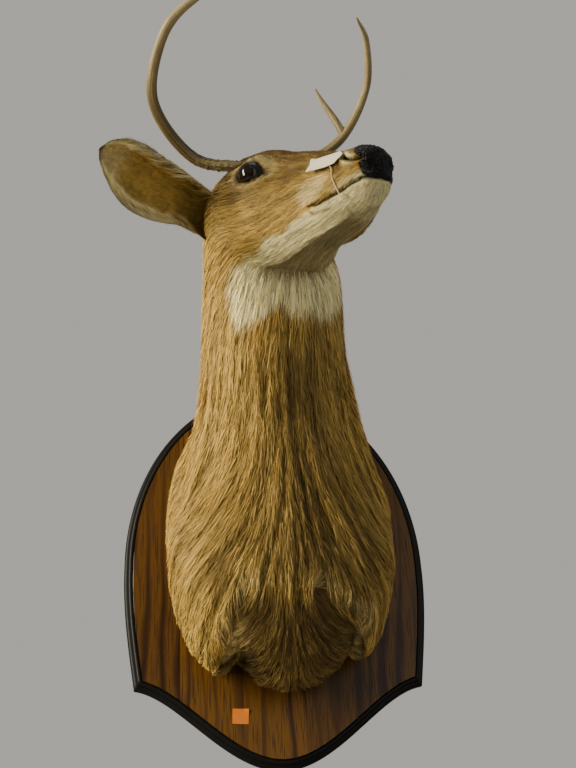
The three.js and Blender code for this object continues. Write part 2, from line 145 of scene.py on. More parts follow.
def to_head(points):
    return (points - HEAD_ORIGIN) @ AXES.T


WALL_SIDE = 19.35  # the body starts this far in front of the wall, just clear of the board

# Trunk and neck: belly point, back point, how far the side direction has turned to the head's.
TRUNK = [
    ((0, -WALL_SIDE, -176), (-6, -WALL_SIDE, 192), 0),
    ((0, -72, -192), (-8, -50, 203), 0),
    ((-2, -136, -168), (-10, -80, 214), 0),
    ((-6, -194, -120), (-11, -110, 226), 0),
    ((-9, -226, -55), (-12, -136, 243), 0.02),
    ((-12, -250, 25), (-14, -160, 268), 0.06),
    ((-15, -276, 105), (-18, -184, 298), 0.12),
    ((-18, -312, 172), (-24, -210, 334), 0.25),
    ((-16, -345, 222), (-31, -237, 368), 0.42),
    ((-14, -368, 254), (-43, -270, 402), 0.62),
]
# Head: lowest point, along, up and aside in the head's frame, and highest point, along and up.
SKULL = [
    ((-14, -115, 11), (-98, 24)), ((-4, -113, 12), (-68, 42)), ((8, -110, 12), (-34, 46)),
    ((24, -107, 9), (0, 40)), ((44, -104, 5), (32, 30)), ((68, -100, 2), (62, 20)),
    ((96, -95, 0), (92, 10)), ((124, -90, 0), (120, 0)), ((145, -85, 0), (144, -4)),
    ((162, -79, 0), (164, -7)), ((175, -65, 0), (178, -14)), ((182, -48, 0), (183, -30)),
]
# Every section: half width, level of the greatest width, roundness above and below that level.
OUTLINE = np.array([
    (145, -0.06, 2.6, 2.5), (151, -0.06, 2.6, 2.5), (152, -0.08, 2.5, 2.5), (147, -0.2, 2.2, 2.3),
    (129, -0.28, 2.0, 2.2), (110, -0.1, 2.0, 2.1), (99, 0, 2.0, 2.1), (96, 0, 2.0, 2.1),
    (96, 0, 2.0, 2.2), (96, -0.05, 2.0, 2.3), (90, -0.15, 2.0, 2.4), (82, -0.25, 2.0, 2.4),
    (73, -0.25, 2.1, 2.3), (65, -0.25, 2.2, 2.1), (57, -0.3, 2.1, 2.0), (51, -0.35, 2.0, 1.9),
    (45, -0.4, 1.9, 1.85), (40, -0.4, 2.0, 1.85), (34, -0.25, 2.2, 2.0), (30, 0, 2.4, 2.1),
    (21, 0.1, 2.3, 2.3), (1, 0, 2.0, 2.0),
])
SIDE = [unit(mix(np.array([1.0, 0, 0]), LEFT, turn)) for _, _, turn in TRUNK] + [LEFT] * len(SKULL)
BELLY = [low for low, _, _ in TRUNK] + [from_head((along, aside, up)) for (along, up, aside), _ in SKULL]
BACK = [high for _, high, _ in TRUNK] + [from_head((high[0], 0, high[1])) for _, high in SKULL]

# Folds between the brisket and the forelegs: sideways place, half width and depth.
FOLDS = ((-62, 14, 28), (-48, 34, 14), (86, 13, 26), (70, 34, 15))


def body_point(u, angle, grow=0.0):
    """The body's outline: section u along it and an angle round it from the back line.

    A section is a superellipse between its belly and back points, leaning its greatest width to
    one level, and `grow` moves it out on every side. Near the plaque bell-shaped folds lift the
    belly between the brisket and each foreleg.
    """
    belly, back, side = through(BELLY, u), through(BACK, u), through(SIDE, u)
    half, widest, over, under = np.moveaxis(through(OUTLINE, u), -1, 0)
    rise = (back - belly) / 2
    length = np.linalg.norm(rise, axis=-1)
    rise = rise * np.maximum(1 + grow / length, 0.05)[..., None]
    length = np.maximum(length + grow, 0.05 * length)
    half = np.maximum(np.maximum(half, 0.5) + grow, 0.3)
    sine, cosine = np.sin(angle), np.cos(angle)
    power = np.where(cosine > 0, over, under)
    reach = (np.abs(sine) ** power + np.abs(cosine) ** power) ** (-1 / power)
    x, level = half * sine * reach, cosine * reach
    up = level + widest * (1 - level**2)
    near = smooth(2.7 - u, 0, 1.7)
    for place, spread, depth in FOLDS:
        up = up + near * np.clip(-level, 0, 1) ** 1.5 * depth * bell(x, place, spread) / length
    return (belly + back) / 2 + rise * up[..., None] + side * x[..., None]


# ---- Surfaces as grids ------------------------------------------------------------------------


class Surface:
    """A grid of points, rows by columns and closed round its columns, with tangents and normals.

    `rows` run from the plaque to the nose, or from an ear's root to its tip. Any field of the same
    grid can be looked up at fractional places by bilinear interpolation.
    """

    def __init__(self, points):
        self.points = points
        self.rows, self.columns = points.shape[:2]
        self.along = np.gradient(points, axis=0)
        self.around = (np.roll(points, -1, axis=1) - np.roll(points, 1, axis=1)) / 2
        self.normal = unit(np.cross(self.along, self.around))

    def look_up(self, field, row, column):
        row = np.clip(row, 0, self.rows - 1.001)
        column = np.mod(column, self.columns)
        i, j = row.astype(int), np.minimum(column.astype(int), self.columns - 1)
        s, t = row - i, column - j
        if field.ndim == 3:
            s, t = s[:, None], t[:, None]
        k = (j + 1) % self.columns
        near = field[i, j] * (1 - t) + field[i, k] * t
        far = field[i + 1, j] * (1 - t) + field[i + 1, k] * t
        return near * (1 - s) + far * s

    def cell_areas(self):
        area = np.linalg.norm(np.cross(self.along, self.around), axis=-1)
        return area[:-1]

    def faces(self):
        """Quads wound so that they face out, with each corner's row and column, not wrapped."""
        i, j = np.meshgrid(np.arange(self.rows - 1), np.arange(self.columns), indexing="ij")
        row = np.stack([i, i + 1, i + 1, i], axis=-1).reshape(-1, 4)
        column = np.stack([j, j, j + 1, j + 1], axis=-1).reshape(-1, 4)
        return row * self.columns + column % self.columns, row, column


def relax(field, times=1):
    """Averages a field with its neighbours in the grid."""
    for _ in range(times):
        padded = np.concatenate([field[:1], field, field[-1:]])
        sides = np.roll(field, 1, axis=1) + np.roll(field, -1, axis=1)
        field = (2 * field + padded[:-2] + padded[2:] + sides) / 6
    return field


# ---- The head's features ----------------------------------------------------------------------

# Places in the head's frame: along, distance from the middle and up.
EYE_CENTRE = (-7.0, 46.5, 3.0)
EYE_RADIUS = 16.5
LID_REACH = (19.5, 14.5)  # from the middle of the eye to the lids' outer edge, along and up
LID_CENTRE = (-7.0, 2.5)
EYE_TURN = math.radians(-9)  # the front corner lies lower than the back one
TEAR_GROOVE = [(10, 47, -1), (16, 46, -2), (20, 45, -3), (26, 44, -5)]
MOUTH = [
    (98, 42.5, -67.5), (105, 41.5, -68.6), (112, 40, -69.2), (119, 38.5, -67.5), (127, 36, -65.7),
    (136, 34, -63.4), (145, 32, -61.4), (155, 30, -58.1), (160, 27.5, -56), (166, 25, -54.6),
    (172, 16.5, -52.2), (177, 8, -52), (178, 0, -52),
]
NOSTRIL = [
    (143, 22.7, -19), (151, 25.7, -23.8), (158, 27.6, -27.2), (163, 27.4, -28.8), (170.5, 24.8, -29.2),
    (174, 23, -28.2),
]
CHEEKBONE = [(6, 60, -24), (40, 55, -30), (80, 48, -36)]
PEDICLE = (-48, 37, 40)
EAR_ROOT = (-64, 60, -30)
BEHIND_NOSTRIL = [(126, 36, -27), (142, 31, -33)]
UNDER_EYE = [(20, 55, -24), (60, 50, -22), (88, 44, -28)]
LIP_SMUDGE = [(100, 39, -77), (114, 36, -77), (124, 34, -77)]


def rotated(x, y, angle):
    return x * math.cos(angle) - y * math.sin(angle), y * math.cos(angle) + x * math.sin(angle)


def closeness(points, middle, spread):
    """1 at a place, or along a route through several, falling to 0 over the spread."""
    middle = np.asarray(middle, float)
    if middle.ndim == 2:
        return bell(route_distance(points, middle), 0, spread)
    return bell(np.linalg.norm(points - middle, axis=-1), 0, spread)


def eye_place(along, up):
    """Distance and angle from the middle of the eye, in lid reaches, with the corners drawn out."""
    x, y = rotated(along - LID_CENTRE[0], up - LID_CENTRE[1], -EYE_TURN)
    x, y = x / LID_REACH[0], y / LID_REACH[1]
    angle = np.arctan2(y, x)
    return np.hypot(x, y) / lid_outline(angle), angle


def lid_outline(angle):
    """How far the lids reach at an angle round the eye.

    An ellipse with two drawn-out corners, the front one longer, and a flatter lower lid.
    """
    turn = np.mod(angle + math.pi, 2 * math.pi) - math.pi
    back = np.mod(angle, 2 * math.pi) - math.pi
    lower = np.clip(-np.sin(turn + 0.25), 0, 1)
    return 1 + 0.2 * bell(turn, 0, 0.42) + 0.06 * bell(back, 0, 0.4) - 0.24 * lower


def side_distance(head, route):
    """Distance from a route as seen from the side of the head, however deep the place lies under it."""
    flat = np.array([1.0, 0.0, 1.0])
    return route_distance(head * flat, np.array(route) * flat)


def mouth_level(along):
    return np.interp(along, [place[0] for place in MOUTH], [place[2] for place in MOUTH])


def head_relief(head):
    """How far the head's skin stands out from, or sinks into, its plain outline.

    A sum of bells, ridges along short routes and grooves, all symmetric about the middle.
    """
    along, up = head[..., 0], head[..., 2]
    across = np.abs(head[..., 1])
    folded = np.stack([along, across, up], axis=-1)
    outer = smooth(across, 18, 34)  # the sides of the head, away from its middle
    reach, angle = eye_place(along, up)
    brow = np.clip(np.sin(angle), 0, 1)
    # orbit: a rim round the eye, strongest over it, and a hollow in front of and under it
    relief = outer * bell(reach, 1.32, 0.3) * (1.3 + 3.4 * brow)
    relief = relief - outer * 15.5 * (1 - smooth(reach, 0.45, 1.0))
    relief = relief - 3.4 * outer * closeness(folded, TEAR_GROOVE, 4.5)
    relief = relief - 2.4 * outer * bell(along, 50, 22) * bell(up, -10, 15)
    # cheekbone, jaw muscle and the hollow below and before them
    relief = relief + 2.6 * closeness(folded, CHEEKBONE, 9)
    relief = relief + 3.4 * outer * bell(along, 8, 34) * bell(up, -68, 26)
    relief = relief - 2.8 * outer * bell(along, 74, 26) * bell(up, -62, 14)
    # bridge of the nose with pinched sides, the brow's stop and the crown
    relief = relief - 2.6 * smooth(across, 10, 20) * bell(along, 108, 30) * bell(up, -16, 12)
    relief = relief - 1.8 * (1 - smooth(across, 8, 26)) * bell(along, 34, 22) * smooth(up, 5, 25)
    relief = relief + 2.4 * (1 - smooth(across, 6, 20)) * bell(along, -18, 22) * smooth(up, 20, 40)
    relief = relief + 5.5 * closeness(folded, PEDICLE, 15)
    relief = relief + 5.0 * closeness(folded, EAR_ROOT, 27)
    # muzzle: nostril wings and slits, whisker pads, the lips and the line between them
    nostril = route_distance(folded, NOSTRIL)
    relief = relief + 2.0 * bell(nostril, 5.5, 3.2) - 8.0 * bell(nostril, 0, 2.4)
    relief = relief + 1.6 * outer * bell(along, 138, 16) * bell(up, -46, 9)
    lips = route_distance(folded, MOUTH)
    above = smooth(up - mouth_level(along), -2, 2)
    relief = relief - 5.0 * bell(lips, 0, 2.0) + bell(lips, 5.0, 3.0) * mix(0.7, 1.5, above)
    relief = relief - 1.4 * bell(along, 152, 16) * bell(up, -70, 6) * (1 - above)
    return relief


def jaw_relief(u, degrees):
    """The two bones of the lower jaw as ridges under it, with a trough between them."""
    ridges = bell(degrees, 204, 9) + bell(degrees, 153, 9) - 1.1 * bell(degrees, 178, 15)
    return 3.2 * ridges * smooth(u, 10.2, 12.2) * (1 - smooth(u, 16.6, 18))


# ---- The chest's features ---------------------------------------------------------------------

# The ragged crest over the brisket arches from foreleg to foreleg: angles round the body, in
# degrees, and the section the crest lies at.
CREST_ANGLES = (134, 139, 149, 160, 168, 176, 188, 206, 211, 217)
CREST_SECTIONS = (1.7, 2.29, 2.94, 3.31, 3.36, 3.24, 3.36, 3.33, 2.66, 2.0)
SECTION_LENGTH = 62.0  # about a section's length on the chest
TUFT = (28.0, -206.0, -88.0)  # the pale lock beside the whorl on the crest


def below_crest(u, degrees):
    """How far a place lies below the crest of the chest, in millimetres."""
    edge = np.interp(degrees, CREST_ANGLES, CREST_SECTIONS, left=-5, right=-5)
    return (edge - u) * SECTION_LENGTH


def chest_relief(u, degrees, points):
    """A hollow under the crest and a soft roll above it, and faint muscles of neck and shoulder."""
    below = below_crest(u, degrees)
    relief = -9.0 * smooth(below, -2, 9) * (1 - smooth(below, 30, 80))
    relief = relief + 1.5 * bell(below, -14, 16) * smooth(u, 2.0, 2.6)
    body = 1 - smooth(u, 8.5, 9.5)
    shoulder = np.minimum(np.abs(degrees - 236), np.abs(degrees - 124))
    relief = relief + body * 3.0 * bell(shoulder, 0, 16) * bell(u, 2.4, 1.3)
    relief = relief - body * 2.4 * bell(shoulder, 0, 12) * bell(u, 4.6, 0.9)
    return relief + body * 1.2 * ripple(points * (1, 1, 0.45), 70, 11)


COAT_DEPTH = ((0, 5, 8, 9.5, 12, 14, 17, 19, 21), (7.5, 7.0, 6.5, 5.5, 3.6, 2.6, 1.8, 1.2, 0.9))
NECK_ROWS, HEAD_ROWS, COLUMNS = 104, 184, 304
HEAD_FROM = 9.2
NOSE_END = 20.97


def coat_depth(u):
    return np.interp(u, *COAT_DEPTH)


def lower_crowding(angle):
    """Brings the columns closer together along the belly side, where the folds are."""
    return angle + 0.22 * np.sin(angle)


class Skin(Surface):
    """The whole hide in one surface, set in from the coat's tips by the coat's depth."""

    def __init__(self):
        u = np.concatenate([
            np.linspace(0, HEAD_FROM, NECK_ROWS, endpoint=False),
            HEAD_FROM + (NOSE_END - HEAD_FROM) * np.linspace(0, 1, HEAD_ROWS),
        ])
        angle = lower_crowding(2 * math.pi * np.arange(COLUMNS) / COLUMNS)
        self.u, self.angle = np.meshgrid(u, angle, indexing="ij")
        self.degrees = np.degrees(self.angle)
        plain = Surface(body_point(self.u, self.angle, -coat_depth(self.u)))
        self.head = to_head(plain.points)
        on_head = smooth(self.u, 9.4, 10.6)
        relief = on_head * head_relief(self.head) + chest_relief(self.u, self.degrees, plain.points)
        relief = relief + jaw_relief(self.u, self.degrees)
        relief = np.where(self.u > NOSE_END - 0.25, relief * 0.3, relief)
        points = plain.points + plain.normal * relief[..., None]
        points = mix(points, relax(points, 70), bell(self.u, 9.9, 1.5)[..., None])
        points[..., 1] = np.minimum(points[..., 1], -WALL_SIDE)
        super().__init__(points)
        self.head = to_head(self.points)
        self.folded = np.stack([self.head[..., 0], np.abs(self.head[..., 1]), self.head[..., 2]], axis=-1)
        self.eye_reach = eye_place(self.folded[..., 0], self.folded[..., 2])[0]
        self.eye_reach = np.where(self.folded[..., 1] > 30, self.eye_reach, 9.0)
        self.lips = side_distance(self.folded, MOUTH)
        self.nostril = side_distance(self.folded, NOSTRIL) + np.maximum(15 - self.folded[..., 1], 0)


_made = {}


def skin():
    if "skin" not in _made:
        _made["skin"] = Skin()
    return _made["skin"]


# ---- Markings, shared by the skin and the coat ------------------------------------------------


def nose_pad_reach(head):
    """Below 1 on the bare black pad: an ellipse over the muzzle's end, notched at each nostril."""
    along, across, up = head[..., 0], np.abs(head[..., 1]), head[..., 2]
    heights = (-58, -53, -48, -38, -32, -28, -18, -8, 5)
    back = np.interp(up, heights, (184, 178, 174, 171.5, 175, 174, 162, 159, 159))
    behind = (back + 2 * bell(across, 0, 6) - along) / 10
    below = (-52.5 - up) / 6
    return 1 + np.maximum(behind, below)


# Half the throat patch's width on each side, in degrees, by section, and the section of its foot,
# which arches up in the middle between two lobes.
THROAT_RIGHT = (7.2, 7.8, 8.9, 9.7, 12, 14, 15.4, 16.5), (34, 45, 46, 43, 50, 58, 70, 76)
THROAT_LEFT = (7.2, 8.0, 10, 12, 14, 16.5), (58, 72, 60, 48, 56, 72)
THROAT_FOOT = (
    (110, 139, 162, 176, 187, 200, 209, 216, 227), (7.75, 7.7, 7.87, 7.96, 8.05, 7.87, 7.61, 7.38, 7.75)
)


def inner_legs(s, top, fade, width, edge):
    """1 down the inner faces of the foreleg stumps, fading out below section `top`."""
    faces = np.maximum(bell(s.points[..., 0], -72, 13), bell(s.points[..., 0], 93, 11))
    return faces * smooth(top - s.u, 0, fade) * smooth(width - np.abs(s.degrees - 180), 0, edge)


def cheek_patch(s, broad, fine):
    """The pale patch behind the corner of the mouth."""
    along, up = s.folded[..., 0], s.folded[..., 2]
    patch = 1.25 - np.hypot((along - 103) / 27, (up + 50 - 0.25 * (along - 103)) / 20)
    patch = patch + 0.18 * broad + 0.2 * fine
    return 0.4 * smooth(patch, 0, 0.8) * smooth(up - mouth_level(along), -1, 3) * smooth(s.u, 9.8, 10.6)


def cream_markings(s, broad, fine, head, inner, cheek):
    """Throat, underside of the jaw, chin, lips, rings round eye and nostril, and parts of the crest."""
    along, up = s.folded[..., 0], s.folded[..., 2]
    from_belly = np.abs(s.degrees - 180)
    half = np.where(s.degrees > 180, np.interp(s.u, *THROAT_RIGHT), np.interp(s.u, *THROAT_LEFT))
    throat = smooth(half - from_belly + 4 * broad + 3 * fine, -6, 6)
    above_foot = s.u - np.interp(s.degrees, *THROAT_FOOT)
    throat = throat * smooth(above_foot + 0.09 * broad + 0.07 * fine, -0.05, 0.4)
    mouth_up = mouth_level(along)
    chin = smooth(mouth_up - up, -1.0, 2.0) * smooth(along + 3 * fine, 96, 104)
    lip = bell(s.lips, 4, 5) * smooth(up, mouth_up - 1, mouth_up + 1) * smooth(along, 120, 150) * 0.5
    eye_ring = bell(s.eye_reach, 1.55, 0.3) * 0.2
    nostril_rim = bell(s.nostril, 4.6, 2.2) * 0.75 * smooth(166 - along, -4, 6)
    rim = bell(below_crest(s.u, s.degrees), -5, 8) * smooth(from_belly, 10, 20) * 0.26
    return np.maximum.reduce([
        throat, chin * head, cheek, lip * head, eye_ring, nostril_rim,
        0.24 * inner, 0.36 * closeness(s.points, TUFT, 9), rim * smooth(60 - from_belly, 0, 10),
    ])


def brown_markings_and_painted_shade(s, broad, head, inner, dark_hair_and_painted_jaw_shade):
    """Forehead, bridge, crown, nape, shoulders, the stripe down the front of the neck and the brisket, with
    the dark places passed in: brown hair behind the nostrils and on the lower lip, and painted shade under
    the jaw.
    """
    along, across, up = s.folded[..., 0], s.folded[..., 1], s.folded[..., 2]
    u, degrees = s.u, s.degrees
    top = smooth(up + 6 * broad, -66, -14) * head * (0.68 + 0.25 * smooth(up, -10, 20))
    top = top * (1 - 0.6 * smooth(along, 60, 100) * (1 - smooth(up, -25, -10)))
    bridge = (1 - smooth(across, 10, 24)) * smooth(along, 30, 60) * smooth(up, -30, -8) * 0.75
    stripe = bell(degrees, 170, 28) * smooth(u, 3.0, 3.8) * (1 - 0.7 * smooth(u, 6.2, 8.0)) * 0.72
    stripe = stripe + 0.3 * bell(degrees, 130, 26) * smooth(u, 2.6, 3.4) * (1 - smooth(u, 4.2, 5.4))
    nape = bell(np.minimum(degrees, 360 - degrees), 0, 45) * (1 - smooth(u, 10.5, 12)) * 0.3
    bands = np.maximum(bell(degrees, 218, 9), bell(degrees, 137, 10)) * bell(u, 3.5, 0.8) * 0.6
    shoulder = 0.28 * bell(degrees, 250, 14) * (1 - smooth(u, 3.6, 5))
    brisket = smooth(below_crest(u, degrees), 0, 8) * (1 - 0.85 * inner) * 0.8
    brown = np.maximum.reduce([
        top, bridge * head, shoulder, *dark_hair_and_painted_jaw_shade, stripe, nape, bands, brisket,
        0.95 * closeness(s.folded, PEDICLE, 20), 0.55 * closeness(s.folded, EAR_ROOT, 34),
        0.5 * closeness(s.folded, UNDER_EYE, 13),
    ])
    flecks = np.clip(ripple(s.points * (1, 1, 1.6), 26, 8), 0, 1)
    return brown + 0.1 * broad + 0.16 * head * flecks


def black_markings_and_painted_shade(s):
    """Bare or black-haired places: lids, tear groove, nostrils, lips and nose; and painted shade in the folds
    between the brisket and the foreleg stumps.
    """
    x, from_belly = s.points[..., 0], np.abs(s.degrees - 180)
    # painted shade: the creases between the brisket and each foreleg stump are darkened
    painted_fold_shade = np.maximum(bell(x, -47, 8), bell(x, 81, 7))
    painted_fold_shade = painted_fold_shade * smooth(2.3 - s.u, 0, 0.5) * smooth(70 - from_belly, 0, 15)
    tear = bell(side_distance(s.folded, TEAR_GROOVE), 0, 3.8) * 0.9
    return np.maximum.reduce([
        1 - smooth(s.eye_reach, 1.06, 1.24),
        tear * smooth(s.folded[..., 1], 35, 45),
        bell(s.nostril, 0, 2.4),
        bell(s.lips, 0, 2.1),
        smooth(1.1 - nose_pad_reach(s.head), 0, 0.12),
        0.95 * 0.35 * closeness(s.folded, PEDICLE, 20),
        painted_fold_shade * 0.75,
    ])


def body_markings_and_painted_shade(s):
    """Cream, brown, black and ochre amounts over the skin, from 0 to 1, with soft ragged edges. The brown
    also holds painted shade under the jaw, and the black painted shade in the folds beside the forelegs.
    """
    u, up = s.u, s.folded[..., 2]
    broad, fine = ripple(s.points, 34, 5), ripple(s.points, 11, 6)
    head = smooth(u, 9.8, 10.6)
    inner = inner_legs(s, 2.95, 0.35, 70, 15)
    cheek = cheek_patch(s, broad, fine)
    behind_nostril = 0.85 * closeness(s.folded, BEHIND_NOSTRIL, 8)
    smudge = 0.85 * closeness(s.folded, LIP_SMUDGE, 3.6)
    # painted shade: the underside of the jaw, turned away from the key lamp, is browned and loses its cream
    painted_jaw_shade = smooth(208 - s.degrees + 3 * fine, -5, 8) * smooth(s.degrees, 118, 140)
    painted_jaw_shade = painted_jaw_shade * smooth(u, 8.6, 9.6) * (1 - smooth(u, 16.5, 18.5)) * 0.8
    dark_hair_and_painted_jaw_shade = (behind_nostril, smudge, painted_jaw_shade)
    chin_streaks = 0.6 * np.clip(ripple(s.points * (1, 1, 0.25), 7, 9), 0, 1)
    chin_streaks = chin_streaks * smooth(u, 16.5, 17.5) * smooth(-up, 62, 70)
    cream = cream_markings(s, broad, fine, head, inner, cheek)
    cream = cream * (1 - np.maximum.reduce([*(0.75 * place for place in dark_hair_and_painted_jaw_shade), chin_streaks]))
    brown = brown_markings_and_painted_shade(s, broad, head, inner, dark_hair_and_painted_jaw_shade)
    brown = brown * (1 - np.clip(2.2 * cheek, 0, 0.9))
    black = black_markings_and_painted_shade(s)
    return np.clip(np.stack([cream, brown, black, np.zeros_like(black)], axis=-1), 0, 1)


# ---- The coat ---------------------------------------------------------------------------------

WHORL = np.array([25.0, -208.0, -93.0])


def hair_fields(s):
    """Over the skin: how long the hair is, how much of it grows, how far its tips lift, and its lie.

    The lie follows the body back from the nose. It fans outwards over the brisket, turns round
    the whorl on the crest and round the eyes, and wavers in locks.
    """
    across, up = s.folded[..., 1], s.folded[..., 2]
    below = below_crest(s.u, s.degrees)
    from_belly = np.abs(s.degrees - 180)
    sections = (0, 1.5, 3, 5.5, 8, 9.5, 11, 12.5, 14, 16, 18, 19.5, 21)
    length = np.interp(s.u, sections, (20, 26, 32, 34, 34, 30, 21, 14, 11, 8.5, 5.5, 4, 3))
    length = length * mix(1.0, 0.6, smooth(s.u, 11, 12) * smooth(up, 5, 25))
    length = np.where(below > 0, np.minimum(length, 21 + 3 * ripple(s.points, 30, 21)), length)
    length = length + 9 * bell(below, -8, 10) * (from_belly < 60)
    jaw = smooth(s.u, 11, 12) * (1 - smooth(s.u, 16.5, 18)) * bell(from_belly, 38, 16)
    length = length + 5 * jaw
    length = length * mix(0.3, 1.0, smooth(s.eye_reach, 1.05, 1.9))
    length = length * mix(0.35, 1.0, smooth(np.minimum(s.lips, s.nostril + 2), 2, 12))
    length = length * (1 - 0.72 * inner_legs(s, 2.8, 0.3, 66, 12) * (s.u > 0.7))
    # growth: none on the bare nose, in the eyes and slits and under the antlers
    pedicle = np.linalg.norm(s.folded - PEDICLE, axis=-1)
    growth = smooth(s.eye_reach, 1.02, 1.12) * smooth(nose_pad_reach(s.head), 0.98, 1.06)
    growth = growth * smooth(s.nostril, 1.7, 2.9) * smooth(s.lips, 1.0, 2.0) * smooth(pedicle, 8, 11)
    growth = growth / np.clip(length, 3.5, 60)
    lift = 0.06 + 0.24 * bell(below, -10, 10) * (from_belly < 60) + 0.05 * (below > 0)
    lift = lift + 0.06 * jaw + 0.03 * bell(s.u, 8.3, 1.2) + 0.1 * bell(s.u, 6.2, 0.8) * (from_belly > 70)
    lie = -unit(s.along)
    sideways = unit(s.around)
    fan = smooth(below, -4, 30) * np.clip((180 - s.degrees) / 26, -1.4, 1.4)
    lie = lie - 0.9 * fan[..., None] * sideways * (from_belly < 60)[..., None]
    throat = bell(s.u, 8.6, 1.3) * np.clip((180 - s.degrees) / 60, -1, 1)
    lie = lie - 0.35 * throat[..., None] * sideways
    # over the shoulders it fans outwards, more on the right side than on the left
    outwards = np.clip((s.degrees - 178) / 40, -0.7, 1.0)
    outwards = outwards * bell(s.u, 4.3, 1.5) * smooth(-below, 0, 30) * (1 - smooth(from_belly, 60, 105))
    lie = lie + 0.42 * outwards[..., None] * sideways
    # cheeks sweep back and down, and hair parts round the eye
    cheek = smooth(s.u, 12, 13.5) * (1 - smooth(s.u, 17, 18.5)) * bell(across, 50, 14)
    lie = lie - 0.42 * cheek[..., None] * AXES[2]
    eye_left, eye_right = from_head(EYE_CENTRE), from_head(np.array(EYE_CENTRE) * (1, -1, 1))
    nearest = np.where((s.head[..., 1] > 0)[..., None], eye_left, eye_right)
    outwards = unit(s.points - nearest)
    lie = lie + 0.75 * bell(s.eye_reach, 1.15, 0.45)[..., None] * outwards
    whorl = s.points - WHORL
    turning = np.cross(s.normal, unit(whorl)) + 0.35 * unit(whorl)
    lie = mix(lie, 2.0 * turning, closeness(s.points, WHORL, 13)[..., None])
    waver = 0.06 * ripple(s.points, 34, 31) + 0.03 * ripple(s.points, 12, 32)
    lie = lie + waver[..., None] * sideways
    lie = lie - s.normal * dot(lie, s.normal)[..., None]
    return {"length": length, "growth": growth, "lift": lift, "lie": unit(lie), "depth": coat_depth(s.u)}


def locks_at(surface, fields, low, high, count, seed):
    """Roots spread over the rows from low to high by area and growth, one for each equal share."""
    rng = np.random.default_rng(seed)
    share = surface.cell_areas() * fields["growth"][:-1]
    rows = np.arange(surface.rows - 1)[:, None]
    share = np.where((rows >= low) & (rows < high), share, 0).ravel()
    sums = np.cumsum(share)
    pick = np.searchsorted(sums, (np.arange(count) + rng.random(count)) / count * sums[-1])
    pick = np.minimum(pick, share.size - 1)
    row = pick // surface.columns + rng.random(count)
    column = pick % surface.columns + rng.random(count)
    return row, column, rng


# Places along a lock, its relative width there and how fast it rises to its layer.
ALONG_LOCK = (0.0, 0.4, 1.0)
LOCK_WIDTH = (0.6, 1.0, 0.0)
LOCK_RISE = (-0.1, 0.9, 0.95)
WALK = 10  # short steps in which a lock, or a streak, is walked along the surface


def walk(surface, lie, row, column, turned, length, steps=WALK):
    """Places reached from each root by following the lie in short steps; `turned` is each one's own angle."""
    look = surface.look_up
    places = [(row, column)]
    for _ in range(steps):
        along, around = look(surface.along, row, column), look(surface.around, row, column)
        here = look(lie, row, column)
        across = np.cross(look(surface.normal, row, column), here)
        here = unit(here * np.cos(turned)[:, None] + across * np.sin(turned)[:, None])
        a, b = dot(here, along), dot(here, around)
        e, f, g = dot(along, along), dot(along, around), dot(around, around)
        area = np.maximum(e * g - f * f, 0.02)
        row = row + length / steps * (a * g - b * f) / area
        column = column + length / steps * (b * e - a * f) / area
        places.append((row, column))
    return places


def streak_value(surface, lie, row, column, reach, seed):
    """Random values averaged along the lie both ways, so that neighbours in one streak agree."""
    rng = np.random.default_rng(seed)
    field = rng.normal(0, 1, (surface.rows, surface.columns))
    field = field + 0.9 * relax(rng.normal(0, 1, (surface.rows, surface.columns)), 5)
    straight, total = np.zeros(len(row)), 0
    for way in (-1, 1):
        for r, c in walk(surface, lie, row, column, straight, way * reach, 7):
            total = total + surface.look_up(field, r, c)
    return np.clip(total / total.std(), -2.2, 2.2)


